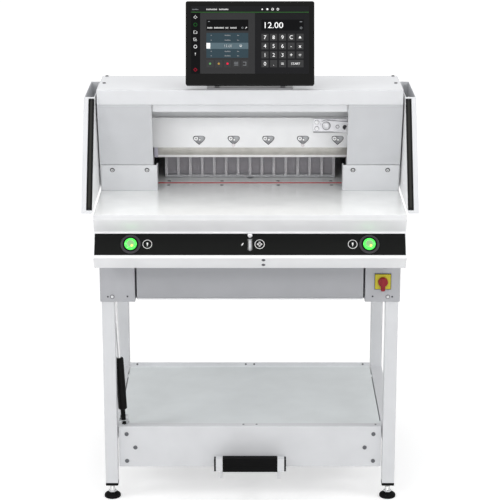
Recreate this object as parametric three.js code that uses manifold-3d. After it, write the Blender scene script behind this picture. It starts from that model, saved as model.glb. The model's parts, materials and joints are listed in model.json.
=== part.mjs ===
// Electric paper cutter on its stand: a guillotine with a touch terminal, light guards and a foot pedal.
// Millimetres, +Z up, +Y to the rear, origin on the floor under the middle of the machine.
import * as THREE from 'three';
import { mergeVertices } from 'three/addons/utils/BufferGeometryUtils.js';
import Module from 'manifold-3d';

const wasm = await Module();
wasm.setup();

// Clearances and cutting overrun shared by all pieces
const seat = 0.3;
const slide = 0.5;
const overrun = 5;
const sheet = 2;
const bendRadius = 4;
const roundSides = 16;
const arcSteps = 3;
const bendSteps = 2;
const domeSteps = 3;

// Body and stand
const cutWidth = 552;
const columnWidth = 168.5;
const bodyHalf = cutWidth / 2 + columnWidth;
const tableTop = 937;
const tableThick = 16;
const noseY = -520;
const legSize = 38;
const legWall = 2.5;
const legInset = 4.5;
const legFrontY = -365;
const standDepth = 645;
const legBottom = 50;
const bedHeight = 80;
const railTop = 217;
const bedTop = tableTop - tableThick;
const bedBottom = bedTop - bedHeight;
const legX1 = bodyHalf - legInset;
const legX0 = legX1 - legSize;
const legRearY = legFrontY + standDepth;

// Levelling feet
const padRadius = 25;
const padEdge = 6;
const padDome = 17;
const padChamfer = 2;
const studRadius = 8;
const plugPlate = 8;
const plugDepth = 18;

// Shelf tray with its deep apron
const trayGap = 3;
const trayHalf = legX0 - trayGap;
const apronY = -345;
const apronBottom = 96;
const apronReturn = 20;
const trayLipTop = 228;
const trayLipDepth = 31;
const trayFloor = 214;
const trayRearY = 236;
const trayRearLip = 229;
const trayRearFlange = 4;
const traySkirt = 24;
const trayPadSize = 22;
const trayPadShares = [0.12, 0.85];

// Foot pedal, its shaft and the lever that works the strut
const shaftY = -250;
const shaftZ = 150;
const shaftRadius = 8;
const pedalHalf = 108;
const pedalHeight = 40;
const pedalDepth = 20;
const pedalY = -410;
const pedalZ = 108;
const pedalPadHalf = 79.3;
const pedalPadThick = 2.2;
const pedalArmX = 83;
const pedalArmThick = 8;
const pedalArmHalf = 9;
const pedalArmDipZ = 85;
const pedalArmFrontY = -386;
const pedalArmRearY = -318;
const bearingX = 104;
const bearingThick = 8;
const bearingHalf = 16;
const leverThick = 6;
const leverHalf = 9;
const shaftRightEnd = 118;

// Strut between the lever and the left leg
const strutInset = 15;
const strutX = strutInset - legX0;
const strutY = -300;
const strutZ = 241;
const strutTopDrop = 247;
const strutTopZ = tableTop - strutTopDrop;
const strutLean = 23.5;
const strutEyeRadius = 10;
const strutEyeThick = 9;
const strutPinRadius = 4;
const strutPinSlack = 0.8;
const strutPinEnd = 2;
const strutSideGap = 1.2;
const strutNeckRadius = 7;
const strutNeckTop = 27;
const strutTubeRadius = 13.5;
const strutTubeTop = 192;
const strutTubeChamfer = 3;
const strutRodRadius = 6.5;
const strutRodFoot = 60;
const strutRodNeck = 22;
const strutBoreFloor = 44;
const strutBracketThick = 6;
const strutBracketHalf = 15;

// Table, cutting stick and rear table
const wideTableY = -200;
const tableEdge = 1;
const tableFrontEndY = -119.7;
const throatMargin = 14;
const innerTableHalf = cutWidth / 2 + throatMargin;
const tableRearEndY = 470;
const stickY = -139;
const stickWidth = 12;
const stickDepth = 10;
const slotHalf = 9.5;
const slotFrontY = -78;
const slotRearMargin = 15;

// Cast bed under the table
const bedFrontY = -480;
const bedRearY = 285;
const bedBay = 60;
const bedBeamWidth = 80;
const beamOuterX = legX0 - bedBay;
const beamInnerX = beamOuterX - bedBeamWidth;
const frontCross = 50;
const midCrossY = -125;
const midCross = 30;
const rearCross = 42;
const notchHalf = 48;
const notchFloor = 24;

// Console with the black control strip
const noseUndercutY = -516;
const recessY = -490;
const recessDrop = 57.5;
const recessZ = tableTop - recessDrop;
const browY = -537;
const browDrop = 119;
const browZ = tableTop - browDrop;
const chinY = -540;
const chinDrop = 122;
const chinZ = tableTop - chinDrop;
const lipY = -498;
const lipDrop = 164;
const lipZ = tableTop - lipDrop;
const consoleRearY = legFrontY - seat;
const consoleTopY = -482;
const cheekThick = 2.5;
const stripHeight = 66;
const stripHalf = bodyHalf - seat;
const stripThick = 4;
const stripRecess = 0.6;
const buttonInset = 103.5;
const buttonX = bodyHalf - buttonInset;
const buttonRadius = 17.5;
const buttonSkirt = 3;
const buttonRise = 5;
const buttonDome = 3.5;
const buttonStemRadius = 6;
const buttonStemLength = 16;
const collarRadius = 28.5;
const collarRise = 2.6;
const collarChamfer = 1.4;
const wheelRadius = 20.5;
const wheelHalf = 3;
const wheelSink = 14.3;
const wheelSlotHalf = 19.8;
const wheelNotches = 24;
const wheelNotchRadius = 0.9;
const axleRadius = 3;
const lugThick = 3.5;
const lugGap = 1.2;
const lugHalf = 9;
const knobDrop = 7.6;
const knobRadius = 7;
const knobRise = 8;
const knobLift = 2.6;
const knobStemRadius = 2.5;
const knobStemLength = 10;
const knobChamfer = 1;
const knobDish = 2;

// Housing below the table
const housingBottomDrop = 306;
const housingBottom = tableTop - housingBottomDrop;
const legCoverWidth = 104.5;
const legCoverInnerX = bodyHalf - legCoverWidth;
const legCoverFrontY = -368;
const legCoverDepth = 38;
const panelGap = 5;
const panelHalf = legCoverInnerX - panelGap;
const panelY = -366;
const panelHem = 6;
const panelLift = 5;
const panGap = 4;
const panHalf = legX0 - panGap;

// Main switch
const switchInset = 52.1;
const switchX = bodyHalf - switchInset;
const switchDrop = 242.5;
const switchZ = tableTop - switchDrop;
const switchPlateSize = 48;
const switchPlateThick = 4;
const switchBossRadius = 8.8;
const switchBossLength = 28;
const switchKnobRadius = 14.5;
const switchKnobThick = 11;
const switchTailLength = 27;
const switchTailHalf = 6.5;
const switchStemRadius = 4;
const switchStemLength = 10;

// Portal that carries the knife and the clamp
const portalY = -128.5;
const sideFrameDepth = 40;
const sideFrameGap = 2;
const sideFrameX0 = innerTableHalf + sideFrameGap;
const sideFrameWidth = legX0 - sideFrameX0;
const beamRise = 185;
const beamZ = tableTop + beamRise;
const beamHeight = 90;
const beamDepth = 74;
const knifeDrop = 80;
const knifeShift = 55;
const guideSlotInset = 55.5;
const guideSlotMidX = sideFrameX0 + guideSlotInset;
const guidePinTopRise = 163;
const guidePinTopZ = tableTop + guidePinTopRise;
const guidePinRadius = 12;

// Knife carrier, blade and pull arm
const carrierY = -157.5;
const carrierThick = 16.2;
const carrierOffset = 2.5;
const carrierLeftX = carrierOffset - guideSlotMidX;
const carrierRightX = legX0 - sideFrameGap;
const carrierBottomRise = 115;
const carrierBottom = tableTop + carrierBottomRise;
const carrierTopRise = 206;
const carrierTop = tableTop + carrierTopRise;
const padBlockHalf = 26;
const padBlockHeight = 25;
const pocketCount = 5;
const pocketMiddleX = 55.2;
const pocketPitchShare = 0.18877;
const pocketPitch = cutWidth * pocketPitchShare;
const pocketFirstX = pocketMiddleX - (pocketCount - 1) / 2 * pocketPitch;
const pocketRise = 123;
const pocketZ = tableTop + pocketRise;
const pocketWidth = 37;
const pocketHeight = 28;
const pocketDepth = 9;
const pocketHeadRadius = 6.5;
const pocketHeadRise = 5;
const bladeY = -141;
const bladeThick = 12;
const bladeLead = 2;
const bladeSpare = 58;
const bladeLeftX = -cutWidth / 2 - bladeLead;
const bladeLength = cutWidth + bladeSpare;
const bladeEdgeRise = 79;
const bladeEdgeZ = tableTop + bladeEdgeRise;
const bladeTopRise = 175;
const bladeTop = tableTop + bladeTopRise;
const edgeBevelHeight = 7.6;
const edgeBevelDepth = 3;
const mainBevelHeight = 29;
const bladeStopWidth = 11.5;
const bladeStopHeight = 34;
const armPlateWidth = 103;
const armPlateX1 = sideFrameX0;
const armPlateX0 = armPlateX1 - armPlateWidth;
const armPlateLowRise = 165;
const armPlateZ0 = tableTop + armPlateLowRise;
const armPlateHighRise = 204;
const armPlateZ1 = tableTop + armPlateHighRise;
const armPlateThick = 6;
const armPivotInset = 39.4;
const armPivotX = armPlateX0 + armPivotInset;
const armPivotLevel = 185;
const armPivotZ = tableTop + armPivotLevel;
const armReach = 131.6;
const armEndX = armPivotX + armReach;
const armEndRise = 173;
const armEndZ = tableTop + armEndRise;
const armHalf = 16.5;
const armThick = 8;
const armPivotRadius = 9;
const armPivotRise = 4;
const armBoltRadius = 6.5;
const armBoltInset = 11.5;
const armBoltX = armPlateX0 + armBoltInset;
const armBoltRises = [175, 194];
const armBoltZs = armBoltRises.map((rise) => tableTop + rise);
const armBoltRise = 3.5;
const yokePinRadius = 9;

// Pull bar with its slotted yoke, the drive nut and the gear motor
const yokeY = -186.3;
const yokeThick = 12;
const yokeWall = 10;
const barOffset = 10;
const barX = armEndX + barOffset;
const barRadius = 8;
const barFootDrop = 197;
const barFootZ = tableTop - barFootDrop;
const nutRadius = 26;
const nutThick = 16;
const nutBossRadius = 15;
const nutBossLength = 14;
const nutHoles = 6;
const nutHoleRadius = 4;
const gearInnerReach = 45;
const gearOuterReach = 27;
const gearX0 = barX - gearInnerReach;
const gearX1 = barX + gearOuterReach;
const gearHalfY = 50;
const gearBottomDrop = 221;
const gearBottom = tableTop - gearBottomDrop;
const motorRadius = 44;
const motorLength = 190;
const motorDrop = 169;
const motorZ = tableTop - motorDrop;
const motorFins = 3;
const motorFinThick = 4;
const motorFinRise = 5;

// Clamp with its guide rods and cylinder
const clampY = -126;
const clampDepth = 52;
const clampMargin = 10;
const clampHalf = cutWidth / 2 + clampMargin;
const clampBottomRise = 82;
const clampBottom = tableTop + clampBottomRise;
const clampTopRise = 175;
const clampTop = tableTop + clampTopRise;
const clampSoleHeight = 12;
const clampRelief = 14;
const rodInset = 86;
const rodX = clampHalf - rodInset;
const rodRadius = 10;
const rodTopRise = 293;
const rodTop = tableTop + rodTopRise;
const pistonRadius = 12;
const pistonTopRise = 287;
const pistonTop = tableTop + pistonTopRise;
const barrelRadius = 20;
const barrelBottomRise = 189;
const barrelBottom = tableTop + barrelBottomRise;
const barrelTopRise = 297;
const barrelTop = tableTop + barrelTopRise;
const barrelFlangeRadius = 32;
const barrelFlange = 8;

// Backgauge, its carriage, screw and motor
const gaugeY = -66;
const gaugeDepth = 16;
const gaugeInset = 15;
const gaugeHalf = cutWidth / 2 - gaugeInset;
const gaugeTopRise = 75;
const gaugeTop = tableTop + gaugeTopRise;
const gaugeLift = 0.6;
const ribCount = 15;
const ribWidth = 9;
const ribPitch = (2 * gaugeHalf - ribWidth) / (ribCount - 1);
const ribFoot = 9;
const ribDepth = 11;
const carriageHalf = 42;
const carriageDepth = 44;
const carriageHeight = 24;
const stemHalf = 8;
const nutBlockHalf = 28;
const nutBlockY = -52;
const nutBlockDepth = 36;
const nutBlockTopDrop = 20;
const nutBlockTop = tableTop - nutBlockTopDrop;
const nutBlockHeight = 42;
const screwDrop = 41;
const screwZ = tableTop - screwDrop;
const screwRadius = 10;
const journalRadius = 7;
const journalLength = 12;
const journalGap = 2;
const bearingPlateHalf = 40;
const bearingPlateThick = 14;
const gaugeMotorHalf = 28.5;
const gaugeMotorLength = 46;

// Hood, column covers, guards and light guards
const coverRearY = -46;
const hoodFrontY = -324;
const hoodRearY = -94;
const hoodTopRise = 323;
const hoodTop = tableTop + hoodTopRise;
const hoodFascia = 45;
const hoodRearFlange = 24;
const hoodLip = 14;
const innerStripDrop = 22;
const columnFootY = -234;
const columnHeadY = -322;
const columnHeadRise = 273;
const columnHeadZ = tableTop + columnHeadRise;
const coverX0 = cutWidth / 2 + clampMargin;
const innerStripGap = 2;
const innerStripHalf = coverX0 - innerStripGap;
const guardTopRise = 85;
const guardTop = tableTop + guardTopRise;
const guardGap = 1.5;
const guardReturnRise = 74;
const guardReturn = tableTop + guardReturnRise;
const guardReturnY = -190;
const guardCrestY = -240;
const wingGap = 4;
const wingInnerX = bodyHalf + wingGap;
const wingThick = 30.4;
const wingTipY = -527;
const wingBottomRise = 6;
const wingBottom = tableTop + wingBottomRise;
const wingTopRise = 306;
const wingTop = tableTop + wingTopRise;
const wingShoulderY = -357;
const wingRearY = -101;
const wingNose = 12;
const wingBossRadius = 10;
const wingBossYs = [-222, -130, -130];
const wingBossRises = [63, 243, 63];
const lightBarWidth = 16.3;
const lightBarDepth = 8;
const lightBarMarginShares = [0.028, 0.994];

// Rear cover: back wall of the portal with the tunnel over the rear table, and the housing below it
const shoulderDrop = 24;
const tunnelRearY = 540;
const tunnelMargin = 20;
const tunnelHalf = innerTableHalf + tunnelMargin;
const tunnelTopRise = 138;
const tunnelTop = tableTop + tunnelTopRise;
const ventCount = 6;
const ventPitch = 44;
const ventRadius = 4;
const ventLowRise = 48;
const ventLow = tableTop + ventLowRise;
const ventHighRise = 103;
const ventHigh = tableTop + ventHighRise;
const channelHalf = 100;
const channelBottomDrop = 89;
const channelBottom = tableTop - channelBottomDrop;

// Hydraulic unit
const tankInset = 98;
const tankWidth = 210;
const tankX0 = tankInset - panHalf;
const tankX1 = tankX0 + tankWidth;
const tankFrontY = -90;
const tankRearY = 90;
const tankHeight = 92;
const tankCornerRadius = 12;
const pumpInset = 65;
const pumpX = tankX0 + pumpInset;
const pumpRadius = 42;
const pumpHeight = 88;
const valveInset = 20;
const valveWidth = 70;
const valveX1 = tankX1 - valveInset;
const valveX0 = valveX1 - valveWidth;
const valveHalf = 35;
const valveHeight = 50;

// Touch terminal
const screenWidth = 372;
const screenHeight = 243;
const screenThick = 25;
const screenCorner = 6;
const glassThick = 3;
const glassInset = 1;
const screenTiltDeg = 15.8;
const screenFrontY = -335;
const screenFrontRise = 338.9;
const screenFrontZ = tableTop + screenFrontRise;
const hingeUp = 14;
const hingeBack = 8;
const hingeRadius = 7;
const hingePinRadius = 3.5;
const knuckleHalf = 88;
const baseHalf = 124;
const baseFrontY = -322;
const baseRearY = -270;
const baseHeight = 5;
const hingeLugThick = 14;

const materials = {
  paint: { color: 0xeceef2, roughness: 0.42, metalness: 0.05 },
  greyPaint: { color: 0xb9bbc0, roughness: 0.5, metalness: 0.1 },
  castIron: { color: 0x7d8084, roughness: 0.7, metalness: 0.4 },
  steel: { color: 0xb8b9bb, roughness: 0.3, metalness: 0.9 },
  knifeSteel: { color: 0xa8a39b, roughness: 0.22, metalness: 1 },
  blackPlastic: { color: 0x151515, roughness: 0.55, metalness: 0 },
  blackGloss: { color: 0x0b0c0d, roughness: 0.12, metalness: 0 },
  rubber: { color: 0x1a1a1a, roughness: 0.85, metalness: 0 },
  stickRed: { color: 0xc8282d, roughness: 0.5, metalness: 0 },
  green: { color: 0x35e04a, roughness: 0.3, metalness: 0 },
  aluminium: { color: 0xc9cacc, roughness: 0.38, metalness: 0.8 },
  yellow: { color: 0xf2d20d, roughness: 0.45, metalness: 0 },
  switchRed: { color: 0xc2202c, roughness: 0.4, metalness: 0 },
};

// Turns a closed three.js geometry into a solid that can be joined and cut.
function toSolid(geometry) {
  geometry.deleteAttribute('normal');
  geometry.deleteAttribute('uv');
  const merged = mergeVertices(geometry, 1e-4);
  const vertProperties = new Float32Array(merged.attributes.position.array);
  const triVerts = new Uint32Array(merged.index.array);
  return new wasm.Manifold(new wasm.Mesh({ numProp: 3, vertProperties, triVerts }));
}

// Turns a solid back into a geometry with flat faces.
function toGeometry(solid) {
  const { vertProperties, triVerts } = solid.getMesh();
  const geometry = new THREE.BufferGeometry();
  geometry.setAttribute('position', new THREE.BufferAttribute(new Float32Array(vertProperties), 3));
  geometry.setIndex(new THREE.BufferAttribute(new Uint32Array(triVerts), 1));
  const flat = geometry.toNonIndexed();
  flat.computeVertexNormals();
  return flat;
}

function join(...solids) {
  return solids.reduce((whole, piece) => whole.add(piece));
}

function cut(solid, ...tools) {
  return tools.reduce((rest, tool) => rest.subtract(tool), solid);
}

function block([x0, x1], [y0, y1], [z0, z1]) {
  const geometry = new THREE.BoxGeometry(x1 - x0, y1 - y0, z1 - z0);
  geometry.translate((x0 + x1) / 2, (y0 + y1) / 2, (z0 + z1) / 2);
  return toSolid(geometry);
}

// Frames that carry a local XY outline and its local Z depth into the machine's axes.
const axisFrames = {
  x: new THREE.Matrix4().makeBasis(
    new THREE.Vector3(0, 1, 0), new THREE.Vector3(0, 0, 1), new THREE.Vector3(1, 0, 0)),
  y: new THREE.Matrix4().makeBasis(
    new THREE.Vector3(1, 0, 0), new THREE.Vector3(0, 0, 1), new THREE.Vector3(0, -1, 0)),
  z: new THREE.Matrix4(),
};

function polygon(points) {
  return new THREE.Shape(points.map(([a, b]) => new THREE.Vector2(a, b)));
}

// Extrudes an outline along an axis: YZ points along x, XZ points along y, XY points along z.
function prism(axis, shape, from, to) {
  const outline = Array.isArray(shape) ? polygon(shape) : shape;
  const options = { depth: to - from, bevelEnabled: false, curveSegments: arcSteps };
  const geometry = new THREE.ExtrudeGeometry(outline, options);
  geometry.translate(0, 0, axis === 'y' ? -to : from);
  geometry.applyMatrix4(axisFrames[axis]);
  return toSolid(geometry);
}

// A cylinder along an axis; the centre is given in the other two axes' order.
function drum(axis, [a, b], radius, from, to, sides = roundSides) {
  const geometry = new THREE.CylinderGeometry(radius, radius, to - from, sides);
  geometry.rotateX(Math.PI / 2);
  geometry.translate(a, b, axis === 'y' ? -(from + to) / 2 : (from + to) / 2);
  geometry.applyMatrix4(axisFrames[axis]);
  return toSolid(geometry);
}

// Turns a profile of radius and height pairs about the upright line through a point.
function turned(profile, [x, y], sides = roundSides) {
  const geometry = new THREE.LatheGeometry(profile.map(([r, z]) => new THREE.Vector2(r, z)), sides);
  geometry.rotateX(Math.PI / 2);
  geometry.translate(x, y, 0);
  return toSolid(geometry);
}

// Points of an arc that rounds the corner at b between a and c.
function corner(a, b, c, radius) {
  const start = new THREE.Vector2(...a).sub(new THREE.Vector2(...b));
  const end = new THREE.Vector2(...c).sub(new THREE.Vector2(...b));
  const reach = Math.min(radius, start.length() / 3, end.length() / 3);
  const from = start.setLength(reach).add(new THREE.Vector2(...b));
  const to = end.setLength(reach).add(new THREE.Vector2(...b));
  const curve = new THREE.QuadraticBezierCurve(from, new THREE.Vector2(...b), to);
  return curve.getPoints(bendSteps).map((p) => [p.x, p.y]);
}

// Rounds the inner corners of an open path.
function bent(path, radius = bendRadius) {
  const points = [path[0]];
  for (let i = 1; i < path.length - 1; i += 1) {
    points.push(...corner(path[i - 1], path[i], path[i + 1], radius));
  }
  points.push(path[path.length - 1]);
  return points;
}

// Outline of folded sheet metal: the path is its outer face, the sheet lies on the given side of it.
function folded(path, thickness, hand) {
  const points = bent(path).map(([a, b]) => new THREE.Vector2(a, b));
  const offset = points.map((point, i) => {
    const before = points[Math.max(i - 1, 0)];
    const after = points[Math.min(i + 1, points.length - 1)];
    const first = i > 0 ? point.clone().sub(before).normalize() : after.clone().sub(point).normalize();
    const last = i < points.length - 1 ? after.clone().sub(point).normalize() : first.clone();
    const normal = new THREE.Vector2(-(first.y + last.y), first.x + last.x).normalize();
    const square = new THREE.Vector2(-first.y, first.x);
    return normal.clone().multiplyScalar(hand * thickness / normal.dot(square)).add(point);
  });
  return new THREE.Shape([...points, ...offset.reverse()]);
}

// A strip with round ends between two points.
function obround([ax, ay], [bx, by], radius) {
  const angle = Math.atan2(by - ay, bx - ax);
  const shape = new THREE.Shape();
  shape.absarc(bx, by, radius, angle - Math.PI / 2, angle, false);
  shape.absarc(bx, by, radius, angle, angle + Math.PI / 2, false);
  shape.absarc(ax, ay, radius, angle + Math.PI / 2, angle + Math.PI, false);
  shape.absarc(ax, ay, radius, angle + Math.PI, angle + Math.PI * 3 / 2, false);
  shape.closePath();
  return shape;
}

// A flat bar that follows a run of points, round at each of them.
function strap(axis, points, radius, from, to) {
  const legs = points.slice(1).map((point, i) => prism(axis, obround(points[i], point, radius), from, to));
  return join(...legs);
}

function roundedRectangle([x0, x1], [y0, y1], radius) {
  const shape = new THREE.Shape();
  shape.absarc(x1 - radius, y0 + radius, radius, -Math.PI / 2, 0, false);
  shape.absarc(x1 - radius, y1 - radius, radius, 0, Math.PI / 2, false);
  shape.absarc(x0 + radius, y1 - radius, radius, Math.PI / 2, Math.PI, false);
  shape.absarc(x0 + radius, y0 + radius, radius, Math.PI, Math.PI * 3 / 2, false);
  shape.closePath();
  return shape;
}

function placed(solid, matrix) {
  return solid.transform(matrix.elements);
}

const machine = new THREE.Group();

function addPiece(name, solid, look) {
  const mesh = new THREE.Mesh(toGeometry(solid), new THREE.MeshStandardMaterial(materials[look]));
  mesh.name = name;
  machine.add(mesh);
}

// Adds a right-hand piece and its mirror image.
function addPair(name, solid, look) {
  addPiece(`${name}_right`, solid, look);
  addPiece(`${name}_left`, solid.mirror([1, 0, 0]), look);
}

// Stand side: two hollow legs welded to a lower and an upper rail.
function standSide() {
  const legStarts = [legFrontY, legRearY - legSize];
  const railSpan = [legFrontY + legSize / 2, legRearY - legSize / 2];
  const railZs = [[railTop - legSize, railTop], [bedBottom - legSize, bedBottom]];
  const inner = [legX0 + legWall, legX1 - legWall];
  const legs = legStarts.map((y) => block([legX0, legX1], [y, y + legSize], [legBottom, bedBottom]));
  const rails = railZs.map((z) => block([legX0, legX1], railSpan, z));
  const legBores = legStarts.map((y) => block(
    inner, [y + legWall, y + legSize - legWall], [legBottom - overrun, bedBottom - legWall]));
  const railBores = railZs.map(([z0, z1]) => block(inner, railSpan, [z0 + legWall, z1 - legWall]));
  return cut(join(...legs, ...rails), ...legBores, ...railBores);
}

const strutTop = [strutX - strutLean, strutY, strutTopZ];
const leverX = strutX + strutNeckRadius + strutSideGap;

function buildStand() {
  const side = standSide();
  addPiece('stand_right', side, 'paint');
  const bracketX = strutTop[0] - strutEyeThick / 2 - strutBracketThick - strutSideGap;
  const bracket = block(
    [bracketX, bracketX + strutBracketThick], [legFrontY + legSize, strutY + strutBracketHalf],
    [strutTopZ - strutBracketHalf, strutTopZ + strutBracketHalf]);
  const pinEnd = strutTop[0] + strutEyeThick / 2 + strutPinEnd;
  const pin = drum('x', [strutY, strutTopZ], strutPinRadius, bracketX, pinEnd);
  addPiece('stand_left', join(side.mirror([1, 0, 0]), bracket, pin), 'paint');
}

// Foot: a domed pad on a stud, with the plug that closes the leg.
function buildFeet() {
  const half = legSize / 2;
  const plugHalf = half - legWall - seat;
  const middleX = (legX0 + legX1) / 2;
  const plateTop = legBottom;
  const plateBottom = legBottom - plugPlate;
  const profile = [
    [0, 0],
    [padRadius - padChamfer, 0],
    [padRadius, padChamfer],
    [padRadius, padEdge],
    ...new THREE.EllipseCurve(0, padEdge, padRadius - padChamfer, padDome - padEdge, 0, Math.PI / 2, false)
      .getPoints(domeSteps).map((p) => [p.x, p.y]).filter(([r]) => r > studRadius),
    [studRadius, padDome],
    [studRadius, plateTop],
    [0, plateTop],
  ];
  const ends = [['front', legFrontY + half], ['rear', legRearY - half]];
  for (const [end, y] of ends) {
    const stud = turned(profile, [middleX, y]);
    const plate = block([middleX - half, middleX + half], [y - half, y + half], [plateBottom, plateTop]);
    const plug = block(
      [middleX - plugHalf, middleX + plugHalf], [y - plugHalf, y + plugHalf],
      [plateBottom, plateTop + plugDepth]);
    addPair(`foot_${end}`, join(stud, plate, plug), 'blackPlastic');
  }
}

// Tray: one folded sheet from the apron's return to the rear lip, with side skirts and shaft bearings.
function buildTray() {
  const profile = folded([
    [apronY + apronReturn, apronBottom],
    [apronY, apronBottom],
    [apronY, trayLipTop],
    [apronY + trayLipDepth, trayLipTop],
    [apronY + trayLipDepth, trayFloor],
    [trayRearY, trayFloor],
    [trayRearY, trayRearLip],
    [trayRearY + trayRearFlange, trayRearLip],
  ], sheet, -1);
  const skirtZ = [trayFloor - traySkirt, trayFloor - sheet / 2];
  const skirtY = [apronY + sheet / 2, trayRearY];
  const pieces = [prism('x', profile, -trayHalf, trayHalf)];
  for (const side of [-1, 1]) {
    const skirt = block([trayHalf - sheet, trayHalf], skirtY, skirtZ);
    const pads = trayPadShares.map((share) => {
      const middle = skirtY[0] + share * (skirtY[1] - skirtY[0]);
      return block(
        [trayHalf - sheet, legX0], [middle - trayPadSize / 2, middle + trayPadSize / 2],
        [skirtZ[0], railTop - legWall]);
    });
    const bearing = join(
      prism('x', obround([shaftY, shaftZ], [shaftY, trayFloor - bearingHalf - sheet], bearingHalf),
        bearingX, bearingX + bearingThick),
      block([bearingX, bearingX + bearingThick], [shaftY - bearingHalf, shaftY + bearingHalf],
        [shaftZ, trayFloor - sheet / 2]));
    const half = join(skirt, ...pads, bearing);
    pieces.push(side > 0 ? half : half.mirror([1, 0, 0]));
  }
  const bore = drum('x', [shaftY, shaftZ], shaftRadius + seat, -bodyHalf, bodyHalf);
  const window = block(
    [-trayHalf + sheet, leverX + leverThick + strutSideGap],
    [strutY - leverHalf * 3, shaftY - leverHalf],
    [trayFloor - sheet - overrun, trayLipTop + overrun]);
  addPiece('shelf_tray', cut(join(...pieces), bore, window), 'paint');
}

// Pedal: a square tube on two arms, welded to a shaft whose left lever holds the strut's pin.
function buildPedal() {
  const tube = block([-pedalHalf, pedalHalf], [pedalY, pedalY + pedalDepth], [pedalZ, pedalZ + pedalHeight]);
  const armPath = [
    [pedalY + pedalDepth - pedalArmHalf, pedalZ + pedalArmHalf],
    [pedalArmFrontY, pedalArmDipZ],
    [pedalArmRearY, pedalArmDipZ],
    [shaftY, shaftZ],
  ];
  const arms = [pedalArmX, -pedalArmX - pedalArmThick].map(
    (x) => strap('x', armPath, pedalArmHalf, x, x + pedalArmThick));
  const shaft = drum('x', [shaftY, shaftZ], shaftRadius, leverX, shaftRightEnd);
  const lever = strap('x', [[shaftY, shaftZ], [strutY, strutZ]], leverHalf, leverX, leverX + leverThick);
  const pin = drum(
    'x', [strutY, strutZ], strutPinRadius, strutX - strutNeckRadius - strutPinEnd, leverX + leverThick);
  addPiece('pedal_frame', join(tube, ...arms, shaft, lever, pin), 'paint');
  const sleeve = block(
    [-pedalPadHalf, pedalPadHalf],
    [pedalY - pedalPadThick, pedalY + pedalDepth + pedalPadThick],
    [pedalZ - pedalPadThick, pedalZ + pedalHeight + pedalPadThick]);
  const inside = block(
    [-pedalPadHalf - overrun, pedalPadHalf + overrun],
    [pedalY, pedalY + pedalDepth], [pedalZ, pedalZ + pedalHeight]);
  addPiece('pedal_pad', cut(sleeve, inside), 'rubber');
}

// Strut: built upright over its lower eye, then leant outward to its upper eye.
function buildStrut() {
  const foot = new THREE.Vector3(strutX, strutY, strutZ);
  const head = new THREE.Vector3(...strutTop);
  const along = head.clone().sub(foot);
  const long = along.length();
  const lean = new THREE.Matrix4().makeRotationFromQuaternion(
    new THREE.Quaternion().setFromUnitVectors(new THREE.Vector3(0, 0, 1), along.normalize()));
  lean.setPosition(foot);
  const eye = (z, half) => drum('x', [0, z], strutEyeRadius, -half, half);
  const eyeHole = (z) => drum('x', [0, z], strutPinRadius + strutPinSlack, -strutEyeRadius, strutEyeRadius);
  const tube = turned([
    [0, 0],
    [strutNeckRadius, 0],
    [strutNeckRadius, strutNeckTop],
    [strutTubeRadius - strutTubeChamfer, strutNeckTop],
    [strutTubeRadius, strutNeckTop + strutTubeChamfer],
    [strutTubeRadius, strutTubeTop - strutTubeChamfer],
    [strutTubeRadius - strutTubeChamfer, strutTubeTop],
    [0, strutTubeTop],
  ], [0, 0]);
  const bore = drum('z', [0, 0], strutRodRadius + seat, strutBoreFloor, strutTubeTop + overrun);
  const shell = cut(join(tube, eye(0, strutNeckRadius)), bore, eyeHole(0));
  addPiece('strut_tube', placed(shell, lean), 'blackPlastic');
  const rod = turned([
    [0, strutRodFoot],
    [strutRodRadius, strutRodFoot],
    [strutRodRadius, long - strutRodNeck],
    [strutEyeThick / 2, long - strutBracketHalf - sheet],
    [strutEyeThick / 2, long],
    [0, long],
  ], [0, 0]);
  addPiece('strut_rod', placed(cut(join(rod, eye(long, strutEyeThick / 2)), eyeHole(long)), lean), 'steel');
}

// Bed: two deep beams, two outer rails and three cross members, cast in one.
function buildBed() {
  const z = [bedBottom, bedTop];
  const length = [bedFrontY, bedRearY];
  const rails = [[beamInnerX, beamOuterX], [legX0, legX1]].flatMap(([x0, x1]) => [
    block([x0, x1], length, z),
    block([-x1, -x0], length, z),
  ]);
  const crosses = [
    [bedFrontY, bedFrontY + frontCross],
    [midCrossY, midCrossY + midCross],
    [bedRearY - rearCross, bedRearY],
  ].map((y) => block([-legX1, legX1], y, z));
  const notch = block(
    [-notchHalf, notchHalf], [bedRearY - rearCross - overrun, bedRearY + overrun],
    [bedBottom + notchFloor, bedTop + overrun]);
  const journal = drum(
    'y', [0, screwZ], journalRadius + seat, midCrossY + midCross - journalLength - journalGap,
    midCrossY + midCross + overrun);
  addPiece('bed_casting', cut(join(...rails, ...crosses), notch, journal), 'castIron');
}

// Table plates with the groove for the cutting stick and the slot for the backgauge.
function buildTable() {
  const half = bodyHalf + tableEdge;
  const outline = [
    [-half, noseY], [half, noseY], [half, wideTableY], [innerTableHalf, wideTableY],
    [innerTableHalf, tableFrontEndY], [-innerTableHalf, tableFrontEndY], [-innerTableHalf, wideTableY],
    [-half, wideTableY],
  ];
  const groove = block(
    [-innerTableHalf - overrun, innerTableHalf + overrun], [stickY, stickY + stickWidth],
    [tableTop - stickDepth, tableTop + overrun]);
  addPiece('table_front', cut(prism('z', outline, bedTop, tableTop), groove), 'paint');
  addPiece('cutting_stick', block(
    [-innerTableHalf, innerTableHalf], [stickY + seat / 2, stickY + stickWidth - seat / 2],
    [tableTop - stickDepth, tableTop]), 'stickRed');
  const slot = prism('z', obround(
    [0, slotFrontY + slotHalf], [0, tableRearEndY - slotRearMargin - slotHalf], slotHalf),
    bedTop - overrun, tableTop + overrun);
  const rear = block(
    [-innerTableHalf, innerTableHalf], [tableFrontEndY + seat, tableRearEndY], [bedTop, tableTop]);
  addPiece('table_rear', cut(rear, slot), 'paint');
}

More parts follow.
